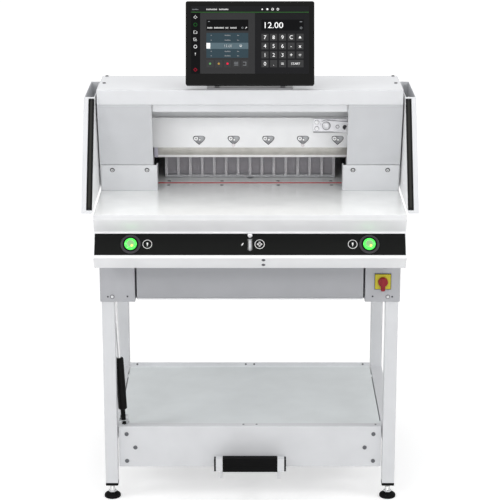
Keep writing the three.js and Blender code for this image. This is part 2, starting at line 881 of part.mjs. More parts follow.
// Local frame of the control strip: X across, Y up the slope, Z out of its face.
function stripFrame() {
  const up = new THREE.Vector3(0, recessY - browY, recessZ - browZ).normalize();
  const across = new THREE.Vector3(1, 0, 0);
  const out = across.clone().cross(up);
  return new THREE.Matrix4().makeBasis(across, up, out)
    .setPosition(0, (recessY + browY) / 2, (recessZ + browZ) / 2);
}

const consolePath = [
  [consoleTopY, bedTop - seat],
  [noseUndercutY, bedTop - seat],
  [recessY, recessZ],
  [browY, browZ],
  [chinY, chinZ],
  [lipY, lipZ],
  [consoleRearY, lipZ],
];

function buildConsole() {
  const frame = stripFrame();
  const shell = prism('x', folded(consolePath, sheet, 1), -bodyHalf, bodyHalf);
  const cheekRearY = legCoverFrontY + legCoverDepth;
  const cheekPath = [...consolePath, [cheekRearY, lipZ], [cheekRearY, bedTop - seat]];
  const cheek = prism('x', cheekPath, bodyHalf, bodyHalf + cheekThick);
  const windowHeight = stripHeight / 2 + seat;
  const window = placed(block(
    [-stripHalf - seat, stripHalf + seat], [-windowHeight, windowHeight],
    [-sheet - overrun, overrun]), frame);
  addPiece('console_shell', cut(join(shell, cheek, cheek.mirror([1, 0, 0])), window), 'paint');
}

// Black strip with the button collars, the wheel's slot and the lugs that carry its axle.
function buildControlStrip() {
  const face = -stripRecess;
  const back = face - stripThick;
  const plate = block([-stripHalf, stripHalf], [-stripHeight / 2, stripHeight / 2], [back, face]);
  const collarProfile = [
    [0, back],
    [collarRadius, back],
    [collarRadius, face + collarRise - collarChamfer],
    [collarRadius - collarChamfer, face + collarRise],
    [0, face + collarRise],
  ];
  const collars = [-buttonX, buttonX].map((x) => turned(collarProfile, [x, 0]));
  const holes = [-buttonX, buttonX].map(
    (x) => drum('z', [x, 0], buttonRadius + seat, back - overrun, face + collarRise + overrun));
  const lugX = [wheelHalf + lugGap, wheelHalf + lugGap + lugThick];
  const lug = block(lugX, [-lugHalf, lugHalf], [-wheelSink - lugHalf, face - seat]);
  const slot = block(
    [-wheelHalf - slide, wheelHalf + slide], [-wheelSlotHalf, wheelSlotHalf],
    [back - overrun, face + overrun]);
  const axleHole = drum('x', [0, -wheelSink], axleRadius + seat, -lugX[1] - overrun, lugX[1] + overrun);
  const knobHole = drum(
    'z', [0, stripHeight / 2 - knobDrop], knobStemRadius + seat, back - overrun, face + overrun);
  const strip = cut(join(plate, ...collars, lug, lug.mirror([1, 0, 0])), ...holes, slot, axleHole, knobHole);
  addPiece('control_strip', placed(strip, stripFrame()), 'blackGloss');
}

function buildControls() {
  const frame = stripFrame();
  const dome = new THREE.EllipseCurve(0, buttonRise, buttonRadius, buttonDome, 0, Math.PI / 2, false)
    .getPoints(domeSteps).map((p) => [Math.max(p.x, 0), p.y]);
  const profile = [
    [0, -buttonStemLength],
    [buttonStemRadius, -buttonStemLength],
    [buttonStemRadius, -buttonSkirt],
    [buttonRadius, -buttonSkirt],
    ...dome,
  ];
  for (const [side, x] of [['left', -buttonX], ['right', buttonX]]) {
    addPiece(`start_button_${side}`, placed(turned(profile, [x, 0]), frame), 'green');
  }
  const notches = Array.from({ length: wheelNotches }, (_, i) => {
    const angle = i / wheelNotches * Math.PI * 2;
    const place = [wheelRadius * Math.cos(angle), wheelRadius * Math.sin(angle) - wheelSink];
    return drum('x', place, wheelNotchRadius, -wheelHalf - overrun, wheelHalf + overrun, 6);
  });
  const wheel = drum('x', [0, -wheelSink], wheelRadius, -wheelHalf, wheelHalf, wheelNotches * 2);
  const axleEnd = wheelHalf + lugGap + lugThick;
  const axle = drum('x', [0, -wheelSink], axleRadius, -axleEnd, axleEnd);
  addPiece('hand_wheel', placed(join(cut(wheel, ...notches), axle), frame), 'greyPaint');
  const knobProfile = [
    [0, -knobStemLength],
    [knobStemRadius, -knobStemLength],
    [knobStemRadius, knobLift],
    [knobRadius, knobLift],
    [knobRadius, knobRise - knobChamfer],
    [knobRadius - knobChamfer, knobRise],
    [knobRadius / 2, knobRise],
    [0, knobRise - knobDish],
  ];
  const knob = turned(knobProfile, [0, stripHeight / 2 - knobDrop]);
  addPiece('centre_button', placed(knob, frame), 'greyPaint');
}

// Covers round the legs' heads, the front panel, the side panels and the rear and bottom pan.
function buildHousing() {
  const top = lipZ - seat;
  const coverRear = legCoverFrontY + legCoverDepth;
  const coverShape = folded([
    [legCoverInnerX, coverRear],
    [legCoverInnerX, legCoverFrontY],
    [bodyHalf, legCoverFrontY],
    [bodyHalf, coverRear],
  ], sheet, 1);
  const cover = prism('z', coverShape, housingBottom, top);
  const shaftHole = drum(
    'y', [switchX, switchZ], switchBossRadius + seat,
    legCoverFrontY - overrun, legCoverFrontY + sheet + overrun);
  addPiece('leg_cover_right', cut(cover, shaftHole), 'paint');
  addPiece('leg_cover_left', cover.mirror([1, 0, 0]), 'paint');
  const panelBottom = housingBottom + panelLift;
  const panelShape = folded([
    [coverRear, panelBottom],
    [panelY - sheet, panelBottom],
    [panelY - sheet, panelBottom + panelHem],
    [panelY, panelBottom + panelHem],
    [panelY, top],
  ], sheet, -1);
  addPiece('lower_front_panel', prism('x', panelShape, -panelHalf, panelHalf), 'greyPaint');
  const flangeY = coverRearY + sheet + seat;
  const sideShape = [
    [coverRear + seat, housingBottom], [bedRearY + sheet, housingBottom],
    [bedRearY + sheet, bedTop + sheet], [flangeY, bedTop + sheet],
    [flangeY, bedTop - seat], [coverRear + seat, bedTop - seat],
  ];
  const flange = block(
    [tunnelHalf + seat, bodyHalf - sheet / 2], [flangeY, bedRearY + sheet], [bedTop, bedTop + sheet]);
  addPair('side_panel', join(prism('x', sideShape, bodyHalf - sheet, bodyHalf), flange), 'paint');
  const panShape = folded([
    [coverRear + seat, housingBottom],
    [bedRearY + seat + sheet, housingBottom],
    [bedRearY + seat + sheet, bedTop - seat],
  ], sheet, 1);
  const pan = prism('x', panShape, -panHalf, panHalf);
  const rearWall = block(
    [-bodyHalf + sheet + seat, bodyHalf - sheet - seat], [bedRearY + seat, bedRearY + seat + sheet],
    [housingBottom + sheet, bedTop - seat]);
  const passage = block(
    [-notchHalf, notchHalf], [bedRearY - overrun, bedRearY + sheet + overrun],
    [bedBottom + notchFloor, bedTop + overrun]);
  addPiece('rear_and_bottom_pan', cut(join(pan, rearWall), passage), 'paint');
}

function buildSwitch() {
  const half = switchPlateSize / 2;
  const plateFront = legCoverFrontY - switchPlateThick;
  const plate = prism('y', roundedRectangle(
    [switchX - half, switchX + half], [switchZ - half, switchZ + half], sheet), plateFront, legCoverFrontY);
  const boss = drum(
    'y', [switchX, switchZ], switchBossRadius, legCoverFrontY - overrun / 2, plateFront + switchBossLength);
  const stemHole = drum(
    'y', [switchX, switchZ], switchStemRadius + seat,
    plateFront - overrun, plateFront + switchStemLength + slide);
  addPiece('switch_plate', cut(join(plate, boss), stemHole), 'yellow');
  const knobBack = plateFront - seat;
  const knobFront = knobBack - switchKnobThick;
  const disc = drum('y', [switchX, switchZ], switchKnobRadius, knobFront, knobBack);
  const tail = prism('y', obround(
    [switchX, switchZ], [switchX, switchZ - switchTailLength + switchTailHalf], switchTailHalf),
    knobFront - sheet, knobBack);
  const stem = drum('y', [switchX, switchZ], switchStemRadius, knobFront, plateFront + switchStemLength);
  addPiece('switch_knob', join(disc, tail, stem), 'switchRed');
}

// Portal: two side frames with slanted guide slots under one cross beam.
function buildPortal() {
  const frameEnd = portalY + sideFrameDepth;
  for (const [name, side] of [['right', 1], ['left', -1]]) {
    const middle = side * guideSlotMidX;
    const plate = block(
      side > 0 ? [sideFrameX0, sideFrameX0 + sideFrameWidth] : [-sideFrameX0 - sideFrameWidth, -sideFrameX0],
      [portalY, frameEnd], [bedTop, beamZ]);
    const slot = prism('y', obround(
      [middle + knifeShift / 2, guidePinTopZ], [middle - knifeShift / 2, guidePinTopZ - knifeDrop],
      guidePinRadius + slide), portalY - overrun, frameEnd + overrun);
    addPiece(`side_frame_${name}`, cut(plate, slot), 'castIron');
  }
  const beamHalf = sideFrameX0 + sideFrameWidth;
  const beam = block([-beamHalf, beamHalf], [portalY, portalY + beamDepth], [beamZ, beamZ + beamHeight]);
  const middleY = clampY + clampDepth / 2;
  const bores = [-rodX, rodX].map(
    (x) => drum('z', [x, middleY], rodRadius + slide, beamZ - overrun, beamZ + beamHeight + overrun));
  const barrelBore = drum(
    'z', [0, middleY], barrelRadius + seat, beamZ - overrun, beamZ + beamHeight + overrun);
  addPiece('cross_beam', cut(beam, ...bores, barrelBore), 'castIron');
}

// Rounded triangular pocket, wide at the top, that gives room for a blade screw.
function pocketShape(x) {
  const half = pocketWidth / 2;
  const top = pocketZ + pocketHeight;
  const shape = new THREE.Shape();
  shape.moveTo(x, pocketZ);
  shape.quadraticCurveTo(x + half, pocketZ + pocketHeight / 2, x + half, top - pocketHeight / 4);
  shape.quadraticCurveTo(x + half, top, x + half / 2, top);
  shape.lineTo(x - half / 2, top);
  shape.quadraticCurveTo(x - half, top, x - half, top - pocketHeight / 4);
  shape.quadraticCurveTo(x - half, pocketZ + pocketHeight / 2, x, pocketZ);
  return shape;
}

function buildKnife() {
  const back = carrierY + carrierThick;
  const bar = block([carrierLeftX, carrierRightX], [carrierY, back], [carrierBottom, carrierTop]);
  const pinXs = [guideSlotMidX + knifeShift / 2, -guideSlotMidX + knifeShift / 2];
  const guides = pinXs.flatMap((x) => [
    block(
      [x - padBlockHalf, Math.min(x + padBlockHalf, carrierRightX)], [back - sheet, portalY - seat],
      [guidePinTopZ - padBlockHeight, guidePinTopZ + padBlockHeight]),
    drum('y', [x, guidePinTopZ], guidePinRadius, back, portalY + sideFrameDepth - seat),
  ]);
  const pocketXs = Array.from({ length: pocketCount }, (_, i) => pocketFirstX + i * pocketPitch);
  const pockets = pocketXs.map(
    (x) => prism('y', pocketShape(x), carrierY - overrun, carrierY + pocketDepth));
  const heads = pocketXs.map((x) => drum(
    'y', [x - pocketWidth / 4, pocketZ + pocketHeight * 2 / 3], pocketHeadRadius,
    carrierY + pocketDepth - pocketHeadRise, carrierY + pocketDepth + sheet));
  addPiece('knife_carrier', join(cut(join(bar, ...guides), ...pockets), ...heads), 'paint');
  const front = bladeY;
  const rear = bladeY + bladeThick;
  const bladeShape = [
    [rear, bladeEdgeZ],
    [rear, bladeTop],
    [front, bladeTop],
    [front, bladeEdgeZ + mainBevelHeight],
    [rear - edgeBevelDepth, bladeEdgeZ + edgeBevelHeight],
  ];
  const blade = prism('x', bladeShape, bladeLeftX, bladeLeftX + bladeLength);
  const stop = block(
    [bladeLeftX - bladeStopWidth, bladeLeftX], [front, rear],
    [bladeEdgeZ + sheet, bladeEdgeZ + bladeStopHeight]);
  addPiece('knife_blade', join(blade, stop), 'knifeSteel');
}

// Arm on the carrier's front that the drive pulls: base plate, arm, pivot boss, bolts and yoke pin.
function buildArm() {
  const plateY = carrierY - armPlateThick;
  const armY = plateY - armThick;
  const plate = prism('y', roundedRectangle(
    [armPlateX0, armPlateX1], [armPlateZ0, armPlateZ1], bendRadius), plateY, carrierY);
  const arm = prism('y', obround([armPivotX, armPivotZ], [armEndX, armEndZ], armHalf), armY, plateY + sheet);
  const pivot = drum('y', [armPivotX, armPivotZ], armPivotRadius, armY - armPivotRise, plateY);
  const bolts = armBoltZs.map((z) => drum(
    'y', [armBoltX, z], armBoltRadius, plateY - armBoltRise, plateY + sheet, 6));
  const pin = drum('y', [armEndX, armEndZ], yokePinRadius, yokeY, plateY);
  addPiece('knife_arm', join(plate, arm, pivot, ...bolts, pin), 'steel');
}

// Pull bar: a slotted head that lets the arm's pin slide sideways while the bar moves straight down.
function buildKnifeDrive() {
  const barY = yokeY + yokeThick / 2;
  const slotEnds = [[armEndX, armEndZ], [armEndX - knifeShift, armEndZ]];
  const outer = yokePinRadius + slide + yokeWall;
  const head = prism('y', obround([armEndX, armEndZ], [armEndX - knifeShift, armEndZ], outer),
    yokeY, yokeY + yokeThick);
  const bar = drum('z', [barX, barY], barRadius, barFootZ, armEndZ - yokePinRadius - yokeWall / 2);
  const slot = prism('y', obround(slotEnds[0], slotEnds[1], yokePinRadius + slide),
    yokeY - overrun, yokeY + yokeThick + overrun);
  addPiece('pull_bar', cut(join(head, bar), slot), 'steel');
  const nutZ = bedBottom + seat;
  const wheel = drum('z', [barX, barY], nutRadius, nutZ, nutZ + nutThick);
  const boss = drum('z', [barX, barY], nutBossRadius, nutZ - nutBossLength, nutZ + seat);
  const bore = drum(
    'z', [barX, barY], barRadius + seat, nutZ - nutBossLength - overrun, nutZ + nutThick + overrun);
  const holes = Array.from({ length: nutHoles }, (_, i) => {
    const angle = i / nutHoles * Math.PI * 2;
    const reach = (nutRadius + nutBossRadius) / 2;
    return drum(
      'z', [barX + reach * Math.cos(angle), barY + reach * Math.sin(angle)], nutHoleRadius,
      nutZ - overrun, nutZ + nutThick + overrun, 12);
  });
  addPiece('drive_nut', cut(join(wheel, boss), bore, ...holes), 'steel');
  const box = block([gearX0, gearX1], [barY - gearHalfY, barY + gearHalfY], [gearBottom, bedBottom]);
  const motor = drum('x', [barY, motorZ], motorRadius, gearX0 - motorLength, gearX0 + sheet);
  const finPitch = motorLength / (motorFins + 1);
  const fins = Array.from({ length: motorFins }, (_, i) => {
    const x = gearX0 - finPitch * (i + 1);
    return drum('x', [barY, motorZ], motorRadius + motorFinRise, x, x + motorFinThick);
  });
  const seatBore = drum(
    'z', [barX, barY], nutBossRadius + seat, nutZ - nutBossLength - seat, bedBottom + overrun);
  const through = drum('z', [barX, barY], barRadius + slide, gearBottom - overrun, bedBottom + overrun);
  addPiece('knife_gear_motor', cut(join(box, motor, ...fins), seatBore, through), 'greyPaint');
}

function buildClamp() {
  const y = [clampY, clampY + clampDepth];
  const middleY = clampY + clampDepth / 2;
  const beam = block([-clampHalf, clampHalf], y, [clampBottom, clampTop]);
  const relief = block(
    [-clampHalf - overrun, clampHalf + overrun], [y[1] - clampRelief, y[1] + overrun],
    [clampBottom + clampSoleHeight, clampTop - clampSoleHeight]);
  const rods = [-rodX, rodX].map((x) => drum('z', [x, middleY], rodRadius, clampTop - sheet, rodTop));
  addPiece('clamp_beam', join(cut(beam, relief), ...rods), 'castIron');
  addPiece('clamp_piston', drum('z', [0, middleY], pistonRadius, clampTop, pistonTop), 'steel');
  const barrel = drum('z', [0, middleY], barrelRadius, barrelBottom, barrelTop);
  const flangeZ = beamZ + beamHeight;
  const flange = drum('z', [0, middleY], barrelFlangeRadius, flangeZ, flangeZ + barrelFlange);
  const bore = drum(
    'z', [0, middleY], pistonRadius + seat, barrelBottom - overrun, pistonTop + slide);
  addPiece('clamp_cylinder', cut(join(barrel, flange), bore), 'steel');
}

// Backgauge: a comb of upright ribs on a foot strip, with its carriage, screw, bearing and motor.
function buildBackgauge() {
  const bottom = tableTop + gaugeLift;
  const face = block([-gaugeHalf, gaugeHalf], [gaugeY, gaugeY + gaugeDepth], [bottom, gaugeTop]);
  const spaceWidth = ribPitch - ribWidth;
  const spaces = Array.from({ length: ribCount - 1 }, (_, i) => {
    const middle = (i - (ribCount - 2) / 2) * ribPitch;
    return block(
      [middle - spaceWidth / 2, middle + spaceWidth / 2], [gaugeY - overrun, gaugeY + ribDepth],
      [bottom + ribFoot, gaugeTop + overrun]);
  });
  addPiece('backgauge_face', cut(face, ...spaces), 'aluminium');
  const back = gaugeY + gaugeDepth;
  const saddleZ = [bottom, bottom + carriageHeight];
  const saddle = block([-carriageHalf, carriageHalf], [back, back + carriageDepth], saddleZ);
  const stem = block(
    [-stemHalf, stemHalf], [nutBlockY, nutBlockY + nutBlockDepth], [nutBlockTop - sheet, bottom + sheet]);
  const nut = block(
    [-nutBlockHalf, nutBlockHalf], [nutBlockY, nutBlockY + nutBlockDepth],
    [nutBlockTop - nutBlockHeight, nutBlockTop]);
  const nutBore = drum(
    'y', [0, screwZ], screwRadius + seat, nutBlockY - overrun, nutBlockY + nutBlockDepth + overrun);
  const stemFit = block([-stemHalf - overrun, stemHalf + overrun], [nutBlockY - overrun, back], saddleZ);
  addPiece('backgauge_carriage', cut(join(saddle, cut(stem, stemFit), nut), nutBore), 'castIron');
  const screwStart = midCrossY + midCross + journalGap;
  const screwEnd = tableRearEndY - journalGap;
  const journalFront = midCrossY + midCross - journalLength;
  const journalRear = tableRearEndY + bearingPlateThick + journalLength;
  const screw = join(
    drum('y', [0, screwZ], screwRadius, screwStart, screwEnd),
    drum('y', [0, screwZ], journalRadius, journalFront, journalRear));
  addPiece('lead_screw', screw, 'steel');
  const plateEnd = tableRearEndY + bearingPlateThick;
  const motor = block(
    [-gaugeMotorHalf, gaugeMotorHalf], [plateEnd, plateEnd + gaugeMotorLength],
    [screwZ - gaugeMotorHalf, screwZ + gaugeMotorHalf]);
  const motorBore = drum(
    'y', [0, screwZ], journalRadius + seat, plateEnd - overrun, journalRear + journalGap);
  addPiece('backgauge_motor', cut(motor, motorBore), 'blackPlastic');
}

function buildHood() {
  const fasciaZ = hoodTop - hoodFascia;
  const shape = folded([
    [hoodRearY, hoodTop - hoodRearFlange],
    [hoodRearY, hoodTop],
    [hoodFrontY, hoodTop],
    [hoodFrontY, fasciaZ],
    [hoodFrontY + hoodLip, fasciaZ],
  ], sheet, 1);
  const shell = prism('x', shape, -bodyHalf, bodyHalf);
  const strip = block(
    [-innerStripHalf, innerStripHalf], [hoodFrontY + hoodLip - sheet, hoodFrontY + hoodLip],
    [fasciaZ - innerStripDrop, fasciaZ + sheet]);
  const cheek = block(
    [bodyHalf - sheet, bodyHalf], [hoodFrontY + bendRadius, hoodRearY - sheet / 2],
    [fasciaZ, hoodTop - sheet / 2]);
  addPiece('top_cover', join(shell, strip, cheek, cheek.mirror([1, 0, 0])), 'paint');
}

// Depth of the leaning column face at a height.
function leanY(z) {
  return columnFootY + (z - tableTop) / (columnHeadZ - tableTop) * (columnHeadY - columnFootY);
}

function leaningPlate(z0, z1, x0, x1) {
  return prism('x', [
    [leanY(z0), z0], [leanY(z0) + sheet, z0], [leanY(z1) + sheet, z1], [leanY(z1), z1],
  ], x0, x1);
}

function buildColumns() {
  const bottom = tableTop + seat;
  const top = hoodTop - hoodFascia - seat;
  const front = leaningPlate(guardTop + guardGap, columnHeadZ, coverX0, bodyHalf - sheet / 2);
  const side = prism('x', [
    [leanY(bottom), bottom], [wideTableY + slide, bottom], [wideTableY + slide, bedTop],
    [coverRearY, bedTop], [coverRearY, top], [leanY(columnHeadZ), top], [leanY(columnHeadZ), columnHeadZ],
  ], bodyHalf - sheet, bodyHalf);
  addPair('column_cover', join(front, side), 'paint');
  const guardX0 = cutWidth / 2;
  const guardX1 = bodyHalf - sheet - slide;
  const plate = leaningPlate(bottom, guardTop, guardX0, guardX1);
  const flange = prism('x', [
    [leanY(bottom), bottom], [guardReturnY, bottom],
    [guardReturnY, guardReturn], [guardCrestY, guardTop], [leanY(guardTop), guardTop],
  ], guardX0, guardX0 + sheet);
  addPair('lower_guard', join(plate, flange), 'paint');
}

// Light guards: hollow side panels whose slanted front edge holds the black sensor bar.
function buildWings() {
  const tip = new THREE.Vector2(wingTipY, wingBottom);
  const shoulder = new THREE.Vector2(wingShoulderY, wingTop);
  const edge = shoulder.clone().sub(tip);
  const inward = new THREE.Vector2(edge.y, -edge.x).normalize();
  const along = (share, depth) => {
    const point = tip.clone().addScaledVector(edge, share).addScaledVector(inward, depth);
    return [point.x, point.y];
  };
  const x1 = wingInnerX + wingThick;
  const body = prism('x', [
    [wingTipY, wingBottom], [wingRearY, wingBottom], [wingRearY, wingTop], [wingShoulderY, wingTop],
  ], wingInnerX, x1);
  const cavityLow = along(0, wingNose);
  const cavityHigh = along(1, wingNose);
  const slope = (cavityHigh[0] - cavityLow[0]) / (cavityHigh[1] - cavityLow[1]);
  const atHeight = (z) => [cavityLow[0] + (z - cavityLow[1]) * slope, z];
  const cavity = prism('x', [
    atHeight(wingBottom + sheet), [wingRearY - sheet, wingBottom + sheet],
    [wingRearY - sheet, wingTop + overrun], atHeight(wingTop + overrun),
  ], wingInnerX + sheet, x1 - sheet);
  const [low, high] = lightBarMarginShares;
  const slot = prism('x', [
    along(low, -overrun), along(low, lightBarDepth), along(high, lightBarDepth), along(high, -overrun),
  ], wingInnerX - overrun, wingInnerX + lightBarWidth + seat);
  const bosses = wingBossYs.map((y, i) => drum(
    'x', [y, tableTop + wingBossRises[i]], wingBossRadius, bodyHalf, wingInnerX + sheet / 2));
  addPair('wing', join(cut(body, cavity, slot), ...bosses), 'paint');
  const gap = seat / edge.length();
  const bar = prism('x', [
    along(low + gap, 0), along(low + gap, lightBarDepth - seat),
    along(high - gap, lightBarDepth - seat), along(high - gap, 0),
  ], wingInnerX, wingInnerX + lightBarWidth);
  addPair('light_bar', bar, 'blackGloss');
}

// Back wall with a shoulder under the hood's edge, and the tunnel that the backgauge runs in.
function buildRearCover() {
  const start = hoodRearY + slide;
  const shoulder = hoodTop - shoulderDrop;
  const wallRear = coverRearY + sheet;
  const wall = prism('x', folded([
    [start, shoulder],
    [wallRear, shoulder],
    [wallRear, bedTop],
  ], sheet, -1), -bodyHalf, bodyHalf);
  const cheek = block(
    [bodyHalf - sheet, bodyHalf], [start, coverRearY + sheet / 2],
    [hoodTop - hoodFascia, shoulder - sheet / 2]);
  const window = block(
    [-tunnelHalf + sheet, tunnelHalf - sheet], [coverRearY - overrun, wallRear + overrun],
    [bedTop - overrun, tunnelTop - sheet]);
  const tunnel = prism('y', folded([
    [-tunnelHalf, bedTop],
    [-tunnelHalf, tunnelTop],
    [tunnelHalf, tunnelTop],
    [tunnelHalf, bedTop],
  ], sheet, -1), coverRearY, tunnelRearY);
  const endWall = block(
    [-tunnelHalf + sheet / 2, tunnelHalf - sheet / 2], [tunnelRearY - sheet, tunnelRearY],
    [bedTop, tunnelTop - sheet / 2]);
  const vents = Array.from({ length: ventCount }, (_, i) => {
    const x = (i - (ventCount - 1) / 2) * ventPitch;
    const vent = obround([x, ventLow], [x, ventHigh], ventRadius);
    return prism('y', vent, tunnelRearY - overrun, tunnelRearY + overrun);
  });
  const back = cut(join(wall, cheek, cheek.mirror([1, 0, 0])), window);
  addPiece('rear_cover', join(back, tunnel, cut(endWall, ...vents)), 'paint');
}

// Channel under the rear table, with the plate that carries the screw's rear journal and the motor.
function buildRearHousing() {
  const start = bedRearY + seat + sheet + seat;
  const plateEnd = tableRearEndY + bearingPlateThick;
  const channel = prism('y', folded([
    [-channelHalf, bedTop - seat],
    [-channelHalf, channelBottom],
    [channelHalf, channelBottom],
    [channelHalf, bedTop - seat],
  ], sheet, 1), start, tunnelRearY);
  const span = [-channelHalf + sheet / 2, channelHalf - sheet / 2];
  const wallZ = [channelBottom + sheet / 2, bedTop - seat];
  const endWall = block(span, [tunnelRearY - sheet, tunnelRearY], wallZ);
  const plate = block(span, [tableRearEndY, plateEnd], wallZ);
  const tongue = block([-bearingPlateHalf, bearingPlateHalf], [tableRearEndY, plateEnd], [screwZ, tableTop]);
  const bore = drum('y', [0, screwZ], journalRadius + seat, tableRearEndY - overrun, plateEnd + overrun);
  addPiece('rear_housing', cut(join(channel, endWall, plate, tongue), bore), 'paint');
}

function buildHydraulics() {
  const base = housingBottom + sheet;
  const lid = base + tankHeight;
  const tankPlan = roundedRectangle([tankX0, tankX1], [tankFrontY, tankRearY], tankCornerRadius);
  const tank = prism('z', tankPlan, base, lid);
  const middleY = (tankFrontY + tankRearY) / 2;
  const pump = drum('z', [pumpX, middleY], pumpRadius, lid - sheet, lid + pumpHeight);
  const valve = block(
    [valveX0, valveX1], [middleY - valveHalf, middleY + valveHalf], [lid - sheet, lid + valveHeight]);
  addPiece('hydraulic_unit', join(tank, pump, valve), 'greyPaint');
}

// Touch terminal: local frame on the lower front edge, X across, Y up the screen, Z out of its glass.
function screenFrame() {
  const tilt = THREE.MathUtils.degToRad(screenTiltDeg);
  const up = new THREE.Vector3(0, Math.sin(tilt), Math.cos(tilt));
  const across = new THREE.Vector3(1, 0, 0);
  return new THREE.Matrix4().makeBasis(across, up, across.clone().cross(up))
    .setPosition(0, screenFrontY, screenFrontZ);
}

function buildScreen() {
  const frame = screenFrame();
  const half = screenWidth / 2;
  const back = -glassThick - screenThick;
  const bodyShape = roundedRectangle([-half, half], [0, screenHeight], screenCorner);
  const body = prism('z', bodyShape, back, -glassThick - seat);
  const hingeZ = back - hingeBack;
  const knuckle = drum('x', [hingeUp, hingeZ], hingeRadius, -knuckleHalf, knuckleHalf);
  const web = block(
    [-knuckleHalf, knuckleHalf], [hingeUp - hingeRadius / 2, hingeUp + hingeRadius], [hingeZ, back + sheet]);
  const pinHalf = knuckleHalf + slide + hingeLugThick;
  const pin = drum('x', [hingeUp, hingeZ], hingePinRadius, -pinHalf, pinHalf);
  addPiece('screen_housing', placed(join(body, knuckle, web, pin), frame), 'blackPlastic');
  const glassShape = roundedRectangle(
    [-half + glassInset, half - glassInset], [glassInset, screenHeight - glassInset], screenCorner);
  const glass = prism('z', glassShape, -glassThick, 0);
  addPiece('screen_glass', placed(glass, frame), 'blackGloss');
  const axis = new THREE.Vector3(0, hingeUp, hingeZ).applyMatrix4(frame);
  const base = block([-baseHalf, baseHalf], [baseFrontY, baseRearY], [hoodTop, hoodTop + baseHeight]);
  const lugX = [knuckleHalf + slide, knuckleHalf + slide + hingeLugThick];
  const lug = join(
    prism('x', obround([axis.y, axis.z], [axis.y, hoodTop + hingeRadius], hingeRadius), ...lugX),
    block(lugX, [axis.y - hingeRadius, axis.y + hingeRadius], [hoodTop, hoodTop + hingeRadius]));
  const bore = drum('x', [axis.y, axis.z], hingePinRadius + seat, -lugX[1] - overrun, lugX[1] + overrun);
  addPiece('screen_base', cut(join(base, lug, lug.mirror([1, 0, 0])), bore), 'greyPaint');
}

buildStand();
buildFeet();
buildTray();
buildPedal();
buildStrut();
buildBed();
buildTable();
buildConsole();
buildControlStrip();
buildControls();
buildHousing();
buildSwitch();
buildPortal();
buildKnife();
buildArm();
buildKnifeDrive();
buildClamp();
buildBackgauge();
buildHood();
buildColumns();
buildWings();
buildRearCover();
buildRearHousing();
buildHydraulics();
buildScreen();

export default machine;
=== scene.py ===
"""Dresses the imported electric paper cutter: finishes, fine pieces, studio and camera.

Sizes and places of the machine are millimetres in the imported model's frame, with +X to the operator's right,
+Y to the rear and +Z up. The shapes turn them into metres, which the studio uses itself.
"""

import json
import logging
import math
from dataclasses import dataclass, field
from enum import Enum
from typing import Callable, Iterable, Sequence

import bmesh
import bpy
from mathutils import Matrix, Vector

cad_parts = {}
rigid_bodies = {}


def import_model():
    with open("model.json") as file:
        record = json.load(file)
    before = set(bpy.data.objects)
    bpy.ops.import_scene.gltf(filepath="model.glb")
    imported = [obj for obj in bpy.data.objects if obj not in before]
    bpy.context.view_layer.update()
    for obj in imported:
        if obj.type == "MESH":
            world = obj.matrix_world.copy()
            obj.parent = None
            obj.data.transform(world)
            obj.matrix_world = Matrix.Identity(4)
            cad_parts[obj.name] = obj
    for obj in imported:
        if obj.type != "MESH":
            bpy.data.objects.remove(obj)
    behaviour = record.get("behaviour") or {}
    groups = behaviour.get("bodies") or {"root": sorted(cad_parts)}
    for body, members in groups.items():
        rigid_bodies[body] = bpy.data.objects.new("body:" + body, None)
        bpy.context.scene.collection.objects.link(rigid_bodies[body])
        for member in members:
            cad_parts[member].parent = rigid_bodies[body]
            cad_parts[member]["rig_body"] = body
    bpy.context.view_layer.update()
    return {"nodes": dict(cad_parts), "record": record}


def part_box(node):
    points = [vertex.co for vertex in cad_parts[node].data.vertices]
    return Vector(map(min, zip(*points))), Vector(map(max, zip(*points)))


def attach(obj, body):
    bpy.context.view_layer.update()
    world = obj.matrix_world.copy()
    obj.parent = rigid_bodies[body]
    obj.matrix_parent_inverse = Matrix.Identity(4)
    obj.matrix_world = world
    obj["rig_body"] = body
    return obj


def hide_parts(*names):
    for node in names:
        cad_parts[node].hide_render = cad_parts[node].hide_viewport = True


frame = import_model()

MM = 0.001
UP = Vector((0.0, 0.0, 1.0))
FRONT = Vector((0.0, -1.0, 0.0))
REAR = Vector((0.0, 1.0, 0.0))
RIGHT = Vector((1.0, 0.0, 0.0))
SIDES = (("left", -1), ("right", 1))
Color = tuple[float, float, float]
Pair = tuple[float, float]
Outline = tuple[Pair, ...]
Place = tuple[float, ...]
Point = Sequence[float]
Tree = bpy.types.NodeTree
Socket = bpy.types.NodeSocket
log = logging.getLogger("paper_cutter")

# Degrees between two faces, from which their edge is rounded, shaded sharp or kept
EDGE_TURN = 50.0
SHARP_TURN = 40.0
FLAT_TURN = 0.5
# Distance under which two points of a piece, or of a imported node, become one
MERGE = 0.002
NODE_MERGE = 0.005
# Faces across a rounded corner, and the largest share of a plate that its radius takes
CORNER_STEPS = 5
CORNER_SHARE = 0.49
# Cosines above which directions are parallel, or a face points a given way
PARALLEL = 0.99
SAME_WAY = 0.9
# How near a face has to lie to a place to count as there
CLOSE = 1.0
# Where in a turn of thread the crest starts and ends, and the flank ends
CREST_SHARES = (0.3, 0.55, 0.85)
# Height of a capital as a share of the font's size, how deep the letters are and the steps of their curves
CAPITAL_SHARE = 0.69
LETTER_DEPTH = 0.05
LETTER_STEPS = 3
# Length under which a vector points nowhere
SHORTEST = 1e-6
# How the finishes vary, and how a brushed grain is stretched along its lines and across them
ROUGH_DRIFT = 0.15
DRIFT_ENDS = (0.3, 0.7)
COAT_ROUGHNESS = 0.08
TONE_DETAIL = 2.0
RELIEF_DETAIL = 3.0
ALONG_STRETCH = 0.25
ACROSS_STRETCH = 18.0


